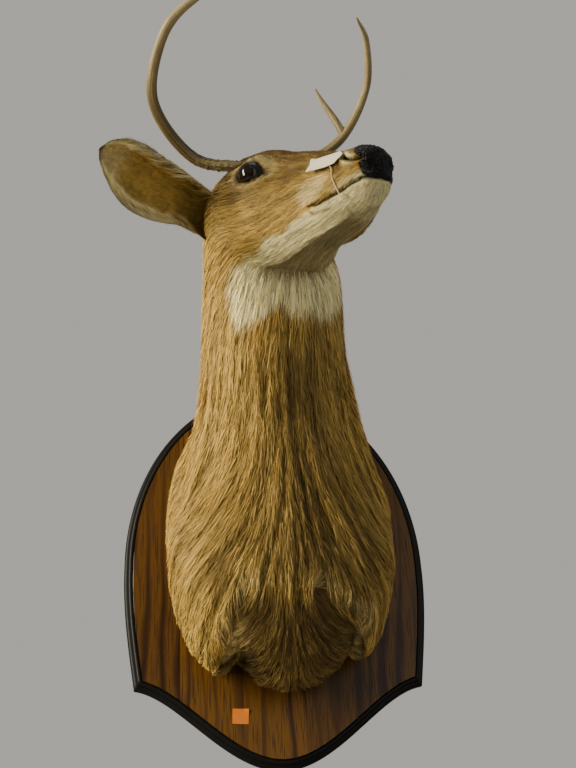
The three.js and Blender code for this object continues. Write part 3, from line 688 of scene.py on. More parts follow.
def grow_locks(surface, fields, markings, low, high, count, seed, width):
    """Locks of hair as pointed blades that follow the surface from their roots along the hair's lie.

    Each is raised to a layer of its own within the coat's depth, its tip lifted by a share of its
    length and its blade rolled by a small angle of its own. Locks of one streak share a height and
    a tone. Returns vertices, triangles and values for each vertex.
    """
    row, column, rng = locks_at(surface, fields, low, high, count, seed)
    look = surface.look_up
    length = look(fields["length"], row, column) * rng.uniform(0.7, 1.25, count)
    depth = look(fields["depth"], row, column)
    places = walk(surface, fields["lie"], row, column, rng.normal(0, 0.06, count), length)
    streak = streak_value(surface, fields["lie"], row, column, 1.3 * length, 300)
    layer = np.clip(rng.uniform(0.25, 0.9, count) + 0.2 * streak, 0.05, 1.2)
    tone = np.clip(0.5 + 0.2 * streak + rng.normal(0, 0.19, count), 0, 1)
    lift = look(fields["lift"], row, column) * rng.uniform(-0.2, 1.6, count)
    half = width * np.clip(length / 20, 0.42, 1.15) * rng.uniform(0.7, 1.3, count) / 2
    roll = rng.normal(0, 0.35, count)
    bend = rng.normal(0, 0.05, count)
    verts = np.empty((count, 5, 3))
    for k, t in enumerate(ALONG_LOCK):
        r, c = places[round(t * WALK)]
        r = np.clip(r, 0, surface.rows - 1.001)
        normal, lie = unit(look(surface.normal, r, c)), look(fields["lie"], r, c)
        height = depth * layer * LOCK_RISE[k] + lift * length * t**2
        sideways = unit(np.cross(normal, lie))
        centre = look(surface.points, r, c) + normal * height[:, None]
        centre = centre + sideways * (bend * length * t * t)[:, None]
        reach = sideways * np.cos(roll)[:, None] + normal * np.sin(roll)[:, None]
        reach = reach * (half * LOCK_WIDTH[k])[:, None]
        if t < 1:
            verts[:, 2 * k], verts[:, 2 * k + 1] = centre - reach, centre + reach
        else:
            verts[:, 4] = centre
    verts[..., 1] = np.minimum(verts[..., 1], -WALL_SIDE)
    pattern = np.array([(0, 2, 1), (1, 2, 3), (2, 4, 3)])
    triangles = pattern[None] + (np.arange(count) * 5)[:, None, None]
    t = np.array([0, 0, 0.4, 0.4, 1.0])
    values = {
        "markings": np.repeat(np.clip(look(markings, *places[6]), 0, 1), 5, axis=0),
        "tone": np.repeat(tone, 5),
        "tip": np.tile(t, count),
    }
    # the bake patch: the root's place on the unwrap, spread a little along and across
    u = unwrap_column(surface, column)[:, None] + np.array([-1, 1, -1, 1, 0]) * PATCH / 2
    v = unwrap_row(surface, row, low, high)[:, None] + (t - 0.5) * PATCH
    values["bake"] = np.stack([u, v], axis=-1).reshape(-1, 2)
    return verts.reshape(-1, 3), triangles.reshape(-1, 3), values


PATCH = 0.003
MARGIN = 0.004


def unwrap_column(surface, column):
    return MARGIN + (1 - 2 * MARGIN) * np.mod(column, surface.columns) / surface.columns


def unwrap_row(surface, row, low, high):
    """Rows spread by their distance along the surface, so that a patch has the same size all over."""
    place = np.cumsum(np.linalg.norm(surface.along, axis=-1).mean(axis=1))
    rows = np.arange(surface.rows)
    start, end = np.interp((low, high), rows, place)
    share = (np.interp(row, rows, place) - start) / (end - start)
    return MARGIN + (1 - 2 * MARGIN) * np.clip(share, 0, 1)


# ---- Ears -------------------------------------------------------------------------------------

EAR_BASE = (-64, 58, -32)
EAR_BOW = 9
EAR_WRAPS = (1.75, 0.75)
# How far the two edges lie from the ear's axis along it: the front and upper edge, and the other.
EAR_PLACES = (0, 0.1, 0.24, 0.36, 0.45, 0.56, 0.64, 0.73, 0.8, 0.87, 0.93, 0.97, 1)
EAR_FRONT = (17, 17, 21, 25.5, 27.5, 29, 30.5, 32, 31, 27.5, 21, 14, 1)
EAR_BACK = (41, 37, 38, 46, 50, 51.5, 50.5, 46, 39.5, 30, 20.5, 13, 1)
EAR_SHAPES = {
    "right": (-1, (-76, 224, 31), (0.86, 0.3, -0.42)),
    "left": (1, (-66, 228, 25), (0.8, 0.2, -0.56)),
}
EAR_ROWS, EAR_SIDE = 54, 30
EAR_WALL = 1.3  # half the thickness of the ear under its hair
# Inside the ear: place, width and height of the ribs across it, and of the ridges along it.
EAR_RIBS = ((0.56, 0.014, 1), (0.63, 0.012, 0.8), (0.7, 0.014, 1), (0.76, 0.012, 0.7))
EAR_RIDGES = ((0.28, 0.07, 1), (-0.3, 0.08, 0.8), (0.0, 0.06, 0.6))


class Ear(Surface):
    """A leaf rolled into a cup, from root to tip, with a back and an inside joined at the edges.

    Across the ear each section is an arc of a circle, nearly half a tube at the root and open at
    the tip. Inside, low ribs cross the middle, and the cup's floor is ridged lengthwise.
    """

    def __init__(self, side, tip, facing):
        mirror = np.array([1, side, 1])
        root, end = from_head(EAR_BASE * mirror), from_head(tip * mirror)
        axis = unit(end - root)
        opening = (np.asarray(facing) * mirror) @ AXES
        opening = unit(opening - axis * dot(opening, axis))
        across = np.cross(axis, opening) * -side
        s = np.sin(np.linspace(0, math.pi / 2, EAR_ROWS)) ** 1.15
        t = np.linspace(-1, 1, EAR_SIDE, endpoint=False)
        t = np.concatenate([t, -t]) * -side
        face = np.repeat([1.0, -1.0], EAR_SIDE)  # back, then inside
        s, t = np.meshgrid(s, t, indexing="ij")
        front, back = np.interp(s, EAR_PLACES, EAR_FRONT), np.interp(s, EAR_PLACES, EAR_BACK)
        front, back = relax(front, 4), relax(back, 4)
        half, shift = (front + back) / 2 - 0.9, (front - back) / 2
        wrap = mix(*EAR_WRAPS, smooth(s, 0, 0.6))
        radius = np.maximum(half, 0.05) / np.sin(np.minimum(wrap, math.pi / 2))
        wall = EAR_WALL * (1 - t**2) * np.sqrt(np.maximum(1 - s**6, 0)) * face
        inside = (face < 0) * (1 - t**2)
        ribs = sum(height * bell(s, place, spread) for place, spread, height in EAR_RIBS)
        ribs = ribs * bell(t, 0.1, 0.42) - 0.8 * bell(s, 0.665, 0.02) * bell(t, 0, 0.4)
        lengthwise = sum(height * bell(t, place, spread) for place, spread, height in EAR_RIDGES)
        wall = wall - inside * (1.7 * ribs + 1.5 * lengthwise * bell(s, 0.3, 0.2))
        angle = wrap * t
        edge = 1.4 * np.abs(t) ** 6 * np.sin(s * 34 + 3 * side) * smooth(s, 0.1, 0.3) * (1 - s)
        mouth = radius * np.cos(np.minimum(wrap, 1.9)) + half * 0.35 - EAR_BOW * np.sin(math.pi * s) + edge
        points = root + axis * (np.linalg.norm(end - root) * s * 0.985)[..., None]
        points = points + across * (shift + (radius + wall) * np.sin(angle))[..., None]
        points = points + opening * (mouth - (radius + wall) * np.cos(angle))[..., None]
        super().__init__(points)
        self.s, self.t, self.inside = s, t, np.broadcast_to(face < 0, s.shape)
        self.side = side

    def markings(self):
        """Ochre inside with a grey-cream fringe, brown at the root and back, dark at the tip's rim."""
        noise = ripple(self.points, 14, 41)
        lower = smooth(-self.t, 0, 0.3)
        edge = smooth(np.abs(self.t) + 0.1 * noise + 0.14 * lower, 0.66, 0.95)
        root = 1 - smooth(self.s + 0.05 * noise, 0.22, 0.46)
        tip = smooth(self.s + 0.02 * noise, 0.95, 1.0)
        rim = smooth(np.abs(self.t), 0.9, 1.0) * smooth(self.s, 0.5, 0.7)
        pale = 0.8 if self.side < 0 else 0.15  # the left ear's fringe is browner
        cream = np.where(self.inside, pale * (edge + 0.5 * smooth(self.s, 0.72, 0.85)), 0.25 * edge)
        brown = np.where(self.inside, 0.5 * root, 0.35 + 0.2 * noise)
        black = np.maximum(tip * 0.8, rim * 0.75)
        ochre = np.where(self.inside, (1 - edge) * (1 - 0.75 * root), 0)
        return np.clip(np.stack([cream * (1 - root * 0.5), brown, black, ochre], axis=-1), 0, 1)

    def hair(self):
        """Short hair lying to the tip on the back, and long loose hair from the edges inside."""
        edge = smooth(np.abs(self.t), 0.55, 0.95)
        length = np.where(self.inside, mix(6, 30, edge * (1 - smooth(self.s, 0.6, 0.95))), 8.0)
        length = length * mix(1.0, 0.55, smooth(self.s, 0.75, 1.0))
        growth = np.where(self.inside, 0.25 + 1.6 * edge, 1.0) * smooth(self.s, 0.04, 0.1)
        growth = growth / np.clip(length, 5, 20)
        lie = unit(self.along)
        inwards = -self.side * np.sign(self.t)[..., None] * unit(self.around) * self.inside[..., None]
        lie = lie + 0.8 * (edge * (1 - self.s))[..., None] * inwards
        lie = lie + (0.3 * ripple(self.points, 18, 43))[..., None] * unit(self.around)
        lie = unit(lie - self.normal * dot(lie, self.normal)[..., None])
        lift = np.where(self.inside, 0.06 + 0.2 * edge, 0.05)
        depth = np.where(self.inside, 0.8 + 1.2 * edge, 1.8)
        return {"length": length, "growth": growth, "lift": lift, "lie": lie, "depth": depth}


def ears():
    if "ears" not in _made:
        _made["ears"] = {
            name: Ear(side, np.array(tip), facing) for name, (side, tip, facing) in EAR_SHAPES.items()
        }
    return _made["ears"]


# ---- Meshes -----------------------------------------------------------------------------------


def put_mesh(name, verts, faces, material, values=None, bake=None, smooth_angle=None):
    """An object at the origin from points in millimetres and a list of face arrays of 3 or 4 corners."""
    mesh = bpy.data.meshes.new(name)
    faces = [np.asarray(f) for f in (faces if isinstance(faces, list) else [faces]) if len(f)]
    corners = np.concatenate([f.ravel() for f in faces]).astype(np.int32)
    totals = np.concatenate([np.full(len(f), f.shape[1]) for f in faces]).astype(np.int32)
    mesh.vertices.add(len(verts))
    mesh.vertices.foreach_set("co", (np.asarray(verts) * MM).astype(np.float32).ravel())
    mesh.loops.add(len(corners))
    mesh.loops.foreach_set("vertex_index", corners)
    mesh.polygons.add(len(totals))
    mesh.polygons.foreach_set("loop_start", (np.cumsum(totals) - totals).astype(np.int32))
    mesh.polygons.foreach_set("loop_total", totals)
    mesh.polygons.foreach_set("use_smooth", np.ones(len(totals), bool))
    mesh.update(calc_edges=True)
    for key, data in (values or {}).items():
        data = np.asarray(data, np.float32)
        kind = "FLOAT_COLOR" if data.ndim == 2 else "FLOAT"
        layer = mesh.attributes.new(key, kind, "POINT")
        layer.data.foreach_set("color" if data.ndim == 2 else "value", data.ravel())
    if bake is not None:
        uv = mesh.uv_layers.new(name="OFBake")
        uv.data.foreach_set("uv", np.asarray(bake, np.float32).ravel())
    if mesh.validate():
        raise RuntimeError(f"{name} had faces that don't hold together")
    if smooth_angle is not None:
        mesh.set_sharp_from_angle(angle=smooth_angle)
    mesh.materials.append(material)
    piece = bpy.data.objects.new(name, mesh)
    bpy.context.scene.collection.objects.link(piece)
    return piece


def finish_piece(piece, slot, *nodes):
    """The piece rides on the one body and stands for the CAD nodes named; its slot is not used."""
    if not len(piece.data.polygons):
        raise RuntimeError(f"{piece.name} is empty")
    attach(piece, "root")
    if nodes:
        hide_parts(*nodes)
    return piece


def cap(rows, columns, last, middle):
    """A fan of triangles that closes the first or last row of a grid on a middle point."""
    k = np.arange(columns)
    start = (rows - 1) * columns if last else 0
    ring, following = start + k, start + (k + 1) % columns
    hub = np.full(columns, middle)
    return np.stack([ring, hub, following] if last else [following, hub, ring], axis=-1)


def closed_grid(points):
    """Points, quads and caps of a tube whose columns run round it, both ends closed."""
    surface = Surface(points)
    rows, columns = surface.rows, surface.columns
    verts = np.concatenate([points.reshape(-1, 3), [points[0].mean(axis=0), points[-1].mean(axis=0)]])
    count = rows * columns
    caps = np.concatenate([cap(rows, columns, False, count), cap(rows, columns, True, count + 1)])
    return verts, surface.faces()[0], caps


def tube_along(route, radii, columns, start_across=(0.3, 0.2, 1.0)):
    """A round bar: circles of the given radii square to a route, turned as little as possible."""
    ahead = unit(np.gradient(route, axis=0))
    across = np.empty_like(route)
    current = np.array(start_across, float)
    for k, direction in enumerate(ahead):
        current = unit(current - direction * dot(current, direction))
        across[k] = current
    other = np.cross(ahead, across)
    angle = -2 * math.pi * np.arange(columns) / columns
    circle = across[:, None] * np.cos(angle)[None, :, None] + other[:, None] * np.sin(angle)[None, :, None]
    return route[:, None] + circle * np.asarray(radii)[..., None]


# ---- Nodes ------------------------------------------------------------------------------------


def add(tree, kind, inputs=None, **settings):
    new = tree.nodes.new(kind)
    for key, value in settings.items():
        setattr(new, key, value)
    for key, value in (inputs or {}).items():
        connect(tree, value, new.inputs[key])
    return new


def connect(tree, value, socket):
    if isinstance(value, bpy.types.NodeSocket):
        tree.links.new(value, socket)
    else:
        socket.default_value = value


def blend(tree, factor, a, b, mode="MIX"):
    new = add(tree, "ShaderNodeMix", data_type="RGBA", blend_type=mode)
    for value, index in ((factor, 0), (a, 6), (b, 7)):
        connect(tree, value, new.inputs[index])
    return new.outputs[2]


def maths(tree, operation, a, b=0.0, clamp=False):
    new = add(tree, "ShaderNodeMath", {0: a, 1: b}, operation=operation, use_clamp=clamp)
    return new.outputs[0]


def plus(tree, base, value, share, clamp=False):
    """base + value * share"""
    return maths(tree, "ADD", base, maths(tree, "MULTIPLY", value, share), clamp)


def shaded(tree, colour, shade):
    """The colour made lighter or darker by a single value."""
    grey = add(tree, "ShaderNodeCombineColor", {"Red": shade, "Green": shade, "Blue": shade}).outputs[0]
    return blend(tree, 1.0, colour, grey, "MULTIPLY")


def ramp(tree, factor, stops):
    new = add(tree, "ShaderNodeValToRGB", {"Fac": factor})
    elements = new.color_ramp.elements
    while len(elements) < len(stops):
        elements.new(0.5)
    for element, (place, colour) in zip(elements, stops):
        element.position = place
        element.color = colour if len(colour) == 4 else (*colour, 1.0)
    return new.outputs["Color"]


def noise(tree, coordinates, scale, detail=3.0, roughness=0.55, distortion=0.0):
    return add(
        tree, "ShaderNodeTexNoise",
        {"Vector": coordinates, "Scale": scale, "Detail": detail, "Roughness": roughness,
         "Distortion": distortion},
    ).outputs["Fac"]


def object_space(tree, scale=(1, 1, 1)):
    place = add(tree, "ShaderNodeTexCoord").outputs["Object"]
    return add(tree, "ShaderNodeMapping", {"Vector": place, "Scale": scale}).outputs["Vector"]


def attribute(tree, name, output="Fac"):
    return add(tree, "ShaderNodeAttribute", attribute_name=name).outputs[output]


def bump(tree, height, strength, distance_mm):
    inputs = {"Height": height, "Strength": strength, "Distance": distance_mm * MM}
    return add(tree, "ShaderNodeBump", inputs).outputs["Normal"]


def new_group(name, inputs, outputs):
    tree = bpy.data.node_groups.new(name, "ShaderNodeTree")
    for socket, kind, default in inputs:
        made = tree.interface.new_socket(name=socket, in_out="INPUT", socket_type=kind)
        made.default_value = default
    for socket, kind in outputs:
        tree.interface.new_socket(name=socket, in_out="OUTPUT", socket_type=kind)
    return tree, add(tree, "NodeGroupInput").outputs, add(tree, "NodeGroupOutput").inputs


def use_group(tree, group, inputs):
    new = add(tree, "ShaderNodeGroup", node_tree=group)
    for key, value in inputs.items():
        connect(tree, value, new.inputs[key])
    return new.outputs


def new_material(name, constants):
    """A material whose Principled shader has these constant values; returns it, its tree and shader."""
    material = bpy.data.materials.new(name)
    material.use_nodes = True
    tree = material.node_tree
    shader = tree.nodes["Principled BSDF"]
    for key, value in constants.items():
        shader.inputs[key].default_value = value
    return material, tree, shader


def drive(tree, shader, **sockets):
    names = {"colour": "Base Color", "roughness": "Roughness", "normal": "Normal"}
    for key, value in sockets.items():
        tree.links.new(value, shader.inputs[names[key]])


COLOUR, VALUE = "NodeSocketColor", "NodeSocketFloat"


def mottle_group():
    """Uneven tone: a colour made lighter and darker by two sizes of noise."""
    if "Mottle" in bpy.data.node_groups:
        return bpy.data.node_groups["Mottle"]
    tree, given, result = new_group(
        "Mottle",
        [("Color", COLOUR, (0.5, 0.5, 0.5, 1)), ("Scale", VALUE, 20.0), ("Amount", VALUE, 0.3)],
        [("Color", COLOUR), ("Mask", VALUE)],
    )
    place = object_space(tree)
    coarse = noise(tree, place, given["Scale"])
    fine = noise(tree, place, maths(tree, "MULTIPLY", given["Scale"], 6.3))
    mask = plus(tree, maths(tree, "MULTIPLY", coarse, 0.65), fine, 0.35)
    swing = maths(tree, "MULTIPLY", maths(tree, "SUBTRACT", mask, 0.5), given["Amount"])
    connect(tree, shaded(tree, given["Color"], plus(tree, 1.0, swing, 2.5)), result["Color"])
    connect(tree, mask, result["Mask"])
    return tree


def mottled(tree, colour, scale, amount):
    return use_group(tree, mottle_group(), {"Color": colour, "Scale": scale, "Amount": amount})["Color"]


def grained_material(name, constants, colour, mottle, grain, relief, rough, stretch=(1, 1, 1)):
    """A mottled colour under a fine grain that drives the bump and the roughness.

    `mottle` is the mottle's scale and amount, `grain` the grain's scale and detail, `relief` the
    bump's strength and height in millimetres, and `rough` the least roughness and its swing.
    """
    material, tree, shader = new_material(name, constants)
    fine = noise(tree, object_space(tree, stretch), *grain)
    drive(tree, shader, colour=mottled(tree, (*colour, 1), *mottle),
          normal=bump(tree, fine, *relief), roughness=plus(tree, rough[0], fine, rough[1]))
    return material


HAIR_COLOURS = ("Golden", "Tan", "Brown", "Cream", "Black", "Ochre")


def hair_group():
    """The coat's colour from its markings, with painted shade under the jaw and in the leg folds among them,
    each lock's tone and the place along the lock.

    A faint cream marking shows as straw, between golden and cream.
    """
    if "Hair colour" in bpy.data.node_groups:
        return bpy.data.node_groups["Hair colour"]
    tree, given, result = new_group(
        "Hair colour",
        [(name, COLOUR, (0.5, 0.5, 0.5, 1)) for name in HAIR_COLOURS],
        [("Color", COLOUR), ("Shade", VALUE)],
    )
    marks = add(tree, "ShaderNodeAttribute", attribute_name="markings")
    parts = add(tree, "ShaderNodeSeparateColor", {"Color": marks.outputs["Color"]}).outputs
    cream, brown, black, ochre = parts["Red"], parts["Green"], parts["Blue"], marks.outputs["Alpha"]
    tone, tip = attribute(tree, "tone"), attribute(tree, "tip")
    patches = noise(tree, object_space(tree), 9.0, 2.0)
    warm = plus(tree, maths(tree, "MULTIPLY", patches, 0.4), tone, 0.7, True)
    colour = blend(tree, warm, given["Tan"], given["Golden"])
    colour = blend(tree, brown, colour, given["Brown"])
    colour = blend(tree, ochre, colour, given["Ochre"])
    straw = blend(tree, 0.45, given["Golden"], given["Cream"])
    straw = blend(tree, maths(tree, "MULTIPLY", cream, 1.4, True), straw, given["Cream"])
    colour = blend(tree, maths(tree, "MULTIPLY", cream, 1.5, True), colour, straw)
    colour = blend(tree, black, colour, given["Black"])
    shade = plus(tree, plus(tree, plus(tree, 0.3, tone, 0.95), tip, 0.28), cream, 0.2)
    connect(tree, shaded(tree, colour, shade), result["Color"])
    connect(tree, shade, result["Shade"])
    return tree


def hair_colour(tree, coat):
    colours = {name: (*getattr(coat, name.lower()), 1) for name in HAIR_COLOURS}
    return use_group(tree, hair_group(), colours)["Color"]


def coat_material(coat):
    material, tree, shader = new_material("Coat hair", {"Specular IOR Level": 0.2})
    strands = noise(tree, object_space(tree), 1400.0, 1.0)
    drive(tree, shader, colour=hair_colour(tree, coat), roughness=plus(tree, 0.46, strands, 0.2),
          normal=bump(tree, strands, 0.25, 0.3))
    return material


def hide_material(coat):
    material, tree, shader = new_material("Hide under the hair", {"Specular IOR Level": 0.2})
    fine = noise(tree, object_space(tree), 900.0, 2.0)
    drive(tree, shader, colour=mottled(tree, hair_colour(tree, coat), 160.0, 0.5),
          roughness=plus(tree, 0.55, fine, 0.25), normal=bump(tree, fine, 0.5, 0.6))
    return material


# ---- Skin, nose, lids and eyes ----------------------------------------------------------------


def skin_values(surface, marks):
    count = surface.rows * surface.columns
    streak = 0.5 + 0.2 * ripple(surface.points.reshape(-1, 3), 7, 51)
    return {"markings": marks.reshape(-1, 4), "tone": streak, "tip": np.full(count, 0.15)}


def build_skin(coat):
    """The hide: the body's surface with both ears' surfaces let into the sides of the head."""
    body = skin()
    verts, quads, caps = closed_grid(body.points)
    _, row, column = body.faces()
    values = skin_values(body, body_markings_and_painted_shade(body))
    steps = np.linalg.norm(body.along, axis=-1).mean(axis=1)
    place = np.cumsum(steps) / np.sum(steps)
    uv = [np.stack([column / body.columns, 0.01 + 0.77 * place[row]], axis=-1).reshape(-1, 2)]
    uv.append(np.tile([[0.0, 0.004]], (caps.size, 1)))
    pads = {"markings": [(0, 0, 0, 0), (0, 0, 1, 0)], "tone": [0.5, 0.5], "tip": [0.1, 0.1]}
    values = {key: np.concatenate([data, pads[key]]) for key, data in values.items()}
    faces, offset = [quads, caps], len(verts)
    for index, ear in enumerate(ears().values()):
        ear_verts, ear_quads, ear_caps = closed_grid(ear.points)
        _, row, column = ear.faces()
        faces += [ear_quads + offset, ear_caps + offset]
        offset += len(ear_verts)
        verts = np.concatenate([verts, ear_verts])
        more = skin_values(ear, ear.markings())
        pads = {"markings": [(0, 1, 0, 0), (0, 0, 1, 0)], "tone": [0.5, 0.5], "tip": [0.1, 0.1]}
        values = {key: np.concatenate([data, more[key], pads[key]]) for key, data in values.items()}
        across, along = 0.01 + 0.48 * column / ear.columns + 0.5 * index, 0.8 + 0.19 * row / ear.rows
        uv.append(np.stack([across, along], axis=-1).reshape(-1, 2))
        uv.append(np.tile([[0.5 * index, 0.795]], (ear_caps.size, 1)))
    piece = put_mesh("hide", verts, faces, hide_material(coat), values, np.concatenate(uv))
    return finish_piece(
        piece, "coat", "trunk", "neck", "head", "ear_right", "ear_left", "foreleg_right", "foreleg_left"
    )


NOSE_ROWS, NOSE_COLUMNS, NOSE_START = 90, 220, 18.3  # the grid, and the section where it begins


def build_nose():
    """The bare pad: the muzzle's end on a finer grid, raised inside the pad's outline, sunk outside it.

    Pebbles are a sum of short sine waves, cut off below so that they stand as rounded bumps.
    """
    body = skin()
    first = np.searchsorted(body.u[:, 0], NOSE_START)
    rows = np.linspace(first, body.rows - 1.01, NOSE_ROWS)
    columns = np.linspace(0, body.columns, NOSE_COLUMNS, endpoint=False)
    row, column = np.meshgrid(rows, columns, indexing="ij")
    shape = (NOSE_ROWS, NOSE_COLUMNS, 3)
    points = body.look_up(body.points, row.ravel(), column.ravel()).reshape(shape)
    normal = unit(body.look_up(body.normal, row.ravel(), column.ravel())).reshape(shape)
    head = to_head(points)
    reach = nose_pad_reach(head)
    pebbles = np.maximum(ripple(points, 3.0, 61, 9), -0.2) * 0.6
    groove = -0.9 * bell(head[..., 1], 0, 1.0) * smooth(-head[..., 2], 24, 34)
    height = mix(-0.9, 0.75 + pebbles + groove, smooth(reach, 1.03, 0.96))
    nostril = route_distance(np.stack([head[..., 0], np.abs(head[..., 1]), head[..., 2]], axis=-1), NOSTRIL)
    height = height - 1.2 * bell(nostril, 0, 2.6)
    points = points + normal * height[..., None]
    verts, quads, caps = closed_grid(points)
    caps = caps[NOSE_COLUMNS:]
    material, tree, shader = new_material("Nose leather", {"Specular IOR Level": 0.32})
    cells = add(
        tree, "ShaderNodeTexVoronoi", {"Vector": object_space(tree), "Scale": 520.0},
        feature="DISTANCE_TO_EDGE",
    )
    cracks = maths(tree, "MULTIPLY", cells.outputs["Distance"], 3.0, True)
    drive(tree, shader, colour=mottled(tree, (0.0042, 0.0034, 0.0026, 1), 90.0, 0.7),
          normal=bump(tree, cracks, 1.0, 0.9), roughness=plus(tree, 0.38, cracks, -0.16))
    piece = put_mesh("nose_leather", verts, [quads, caps], material)
    return finish_piece(piece, "nose", "nose_pad")


def eye_frame(side):
    """The eyeball's centre, and its axes: gaze, forwards and up."""
    centre = from_head(np.array(EYE_CENTRE) * (1, side, 1))
    gaze = unit(np.array([0.16, side * 1.0, 0.03]) @ AXES)
    forward = unit(AXES[0] - gaze * dot(AXES[0], gaze))
    return centre, gaze, forward, np.cross(forward, gaze) * side


EYE_ROWS, EYE_COLUMNS, EYE_POLE = 44, 64, 0.03  # the ball's grid, and the open angle at its poles
PUPIL = (0.36, 0.2)  # half its length and height, in eye radii


def build_eyes():
    """Glass balls: each a sphere about its gaze, with the pupil's and iris's shares for the shader."""
    made = []
    material, tree, shader = new_material("Eye glass", {"Roughness": 0.04, "Specular IOR Level": 0.5})
    pupil, iris = attribute(tree, "pupil"), attribute(tree, "iris")
    rays = noise(tree, object_space(tree), 320.0, 3.0, 0.6)
    brown = ramp(tree, rays, [(0.3, (0.006, 0.003, 0.0015)), (0.7, (0.016, 0.007, 0.003))])
    colour = blend(tree, iris, (0.003, 0.0022, 0.002, 1), brown)
    drive(tree, shader, colour=blend(tree, pupil, colour, (0.003, 0.003, 0.004, 1)))
    for name, side in (("eye_glass_right", -1), ("eye_glass_left", 1)):
        centre, gaze, forward, up = eye_frame(side)
        polar, turn = np.meshgrid(
            np.linspace(EYE_POLE, math.pi - EYE_POLE, EYE_ROWS),
            2 * math.pi * np.arange(EYE_COLUMNS) / EYE_COLUMNS, indexing="ij",
        )
        ring = forward * np.cos(turn)[..., None] + up * side * np.sin(turn)[..., None]
        points = centre + EYE_RADIUS * (gaze * np.cos(polar)[..., None] + ring * np.sin(polar)[..., None])
        if dot(Surface(points).normal[20, 0], points[20, 0] - centre) < 0:
            points, polar = points[::-1], polar[::-1]
        wide = np.sin(polar) * np.cos(turn) / PUPIL[0]
        high = np.sin(polar) * np.sin(turn) / PUPIL[1]
        front = polar < math.pi / 2
        values = {
            "pupil": np.where(front, smooth(np.hypot(wide, high), 1.12, 0.9), 0),
            "iris": np.where(front, smooth(np.sin(polar), 0.8, 0.66), 0),
        }
        verts, quads, caps = closed_grid(points)
        values = {key: np.concatenate([data.ravel(), [0, 0]]) for key, data in values.items()}
        piece = put_mesh(name, verts, [quads, caps], material, values)
        made.append(finish_piece(piece, "eye", name.replace("_glass", "")))
    return made


LID_COLUMNS = 96
LID_INNER, LID_OUTER = 0.74, 1.16  # the ring's two edges, in lid reaches
LID_STEPS = (0.0, 0.1, 0.2, 0.32, 0.45, 0.6, 0.78, 1.0)


def lid_ring(turn, reach):
    """The lids' outline at a reach, along and up in the head's frame."""
    x, y = reach * lid_outline(turn) * np.array(LID_REACH)[:, None] * (np.cos(turn), np.sin(turn))
    x, y = rotated(x, y, EYE_TURN)
    return np.stack([x + LID_CENTRE[0], y + LID_CENTRE[1]], axis=-1)


def build_lids():
    """Black lids: a ring from the skin round the eye, over a rounded margin, down on to the eyeball."""
    body = skin()
    material = grained_material(
        "Lid skin", {"Specular IOR Level": 0.2}, (0.005, 0.004, 0.0035), (200.0, 0.6), (700.0, 2.0),
        (0.4, 0.4), (0.5, 0.3),
    )
    turn = 2 * math.pi * np.arange(LID_COLUMNS) / LID_COLUMNS
    verts_all, faces_all, offset = [], [], 0
    for side in (-1, 1):
        _, gaze, _, _ = eye_frame(side)
        near = (body.folded[..., 1] > 30) & (body.eye_reach > 0.95) & (body.eye_reach < 1.5)
        near = near & (body.head[..., 1] * side > 0)
        skin_points = body.folded[near]
        outer = lid_ring(turn, LID_OUTER)
        apart = np.linalg.norm(skin_points[None, :, ::2] - outer[:, None], axis=-1)
        weight = np.exp(-((apart / 1.6) ** 2)) + 1e-12
        height = (weight * skin_points[None, :, 1]).sum(axis=1) / weight.sum(axis=1)
        outer = np.stack([outer[:, 0], height - 0.5, outer[:, 1]], axis=-1)
        inner = lid_ring(turn, LID_INNER) - np.array(EYE_CENTRE)[::2]
        inner = inner * np.minimum(1, 0.92 * EYE_RADIUS / np.linalg.norm(inner, axis=-1, keepdims=True))
        on_ball = np.sqrt((EYE_RADIUS + 0.15) ** 2 - np.sum(inner**2, axis=-1))
        inner = np.stack([inner[:, 0], on_ball, inner[:, 1]], axis=-1) + EYE_CENTRE
        rows = []
        for w in LID_STEPS:
            margin = 1.5 * math.sin(math.pi * min(w / 0.5, 1.0)) if w < 0.5 else 0.0
            roll = margin + 1.0 * math.sin(math.pi * w)
            row = mix(inner, outer, w)
            row[:, 1] += roll
            rows.append(row)
        grid = np.stack(rows) * (1, side, 1)
        points = from_head(grid)
        surface = Surface(points)
        if np.sum(dot(surface.normal[4], gaze)) < 0:
            surface = Surface(points[::-1])
        faces_all.append(surface.faces()[0] + offset)
        verts_all.append(surface.points.reshape(-1, 3))
        offset += surface.points.size // 3
    piece = put_mesh("eyelids", np.concatenate(verts_all), faces_all, material)
    return finish_piece(piece, "nose")


# Coat pieces: name, the sections between which they grow, locks and lock width.
COAT_PIECES = (
    ("coat_flanks", 0.0, 2.15, 64000, 1.3),
    ("coat_chest", 2.15, 3.8, 64000, 1.15),
    ("coat_shoulders", 3.8, 5.7, 64000, 1.15),
    ("coat_neck", 5.7, 7.7, 64000, 1.1),
    ("coat_throat", 7.7, 10.6, 64000, 1.1),
    ("coat_cheeks", 10.6, 14.6, 64000, 0.9),
    ("coat_muzzle", 14.6, 20.9, 62000, 0.75),
)
EAR_LOCKS, EAR_LOCK_WIDTH = 24000, 0.85


def build_coat(coat):
    """All the hair, piece by piece, each under the export's limit of faces."""
    body = skin()
    fields, marks = hair_fields(body), body_markings_and_painted_shade(body)
    material = coat_material(coat)
    rows_u = body.u[:, 0]
    for index, (name, low, high, count, width) in enumerate(COAT_PIECES):
        ends = np.interp((low, high), rows_u, np.arange(body.rows))
        count = int(count * coat.density)
        verts, triangles, values = grow_locks(
            body, fields, marks, ends[0], ends[1], count, 100 + index, width
        )
        finish_coat(name, verts, triangles, values, material)
    for index, (name, ear) in enumerate(ears().items()):
        verts, triangles, values = grow_locks(
            ear, ear.hair(), ear.markings(), 0, ear.rows - 1, int(EAR_LOCKS * coat.density), 200 + index,
            EAR_LOCK_WIDTH
        )
        finish_coat(f"coat_ear_{name}", verts, triangles, values, material)


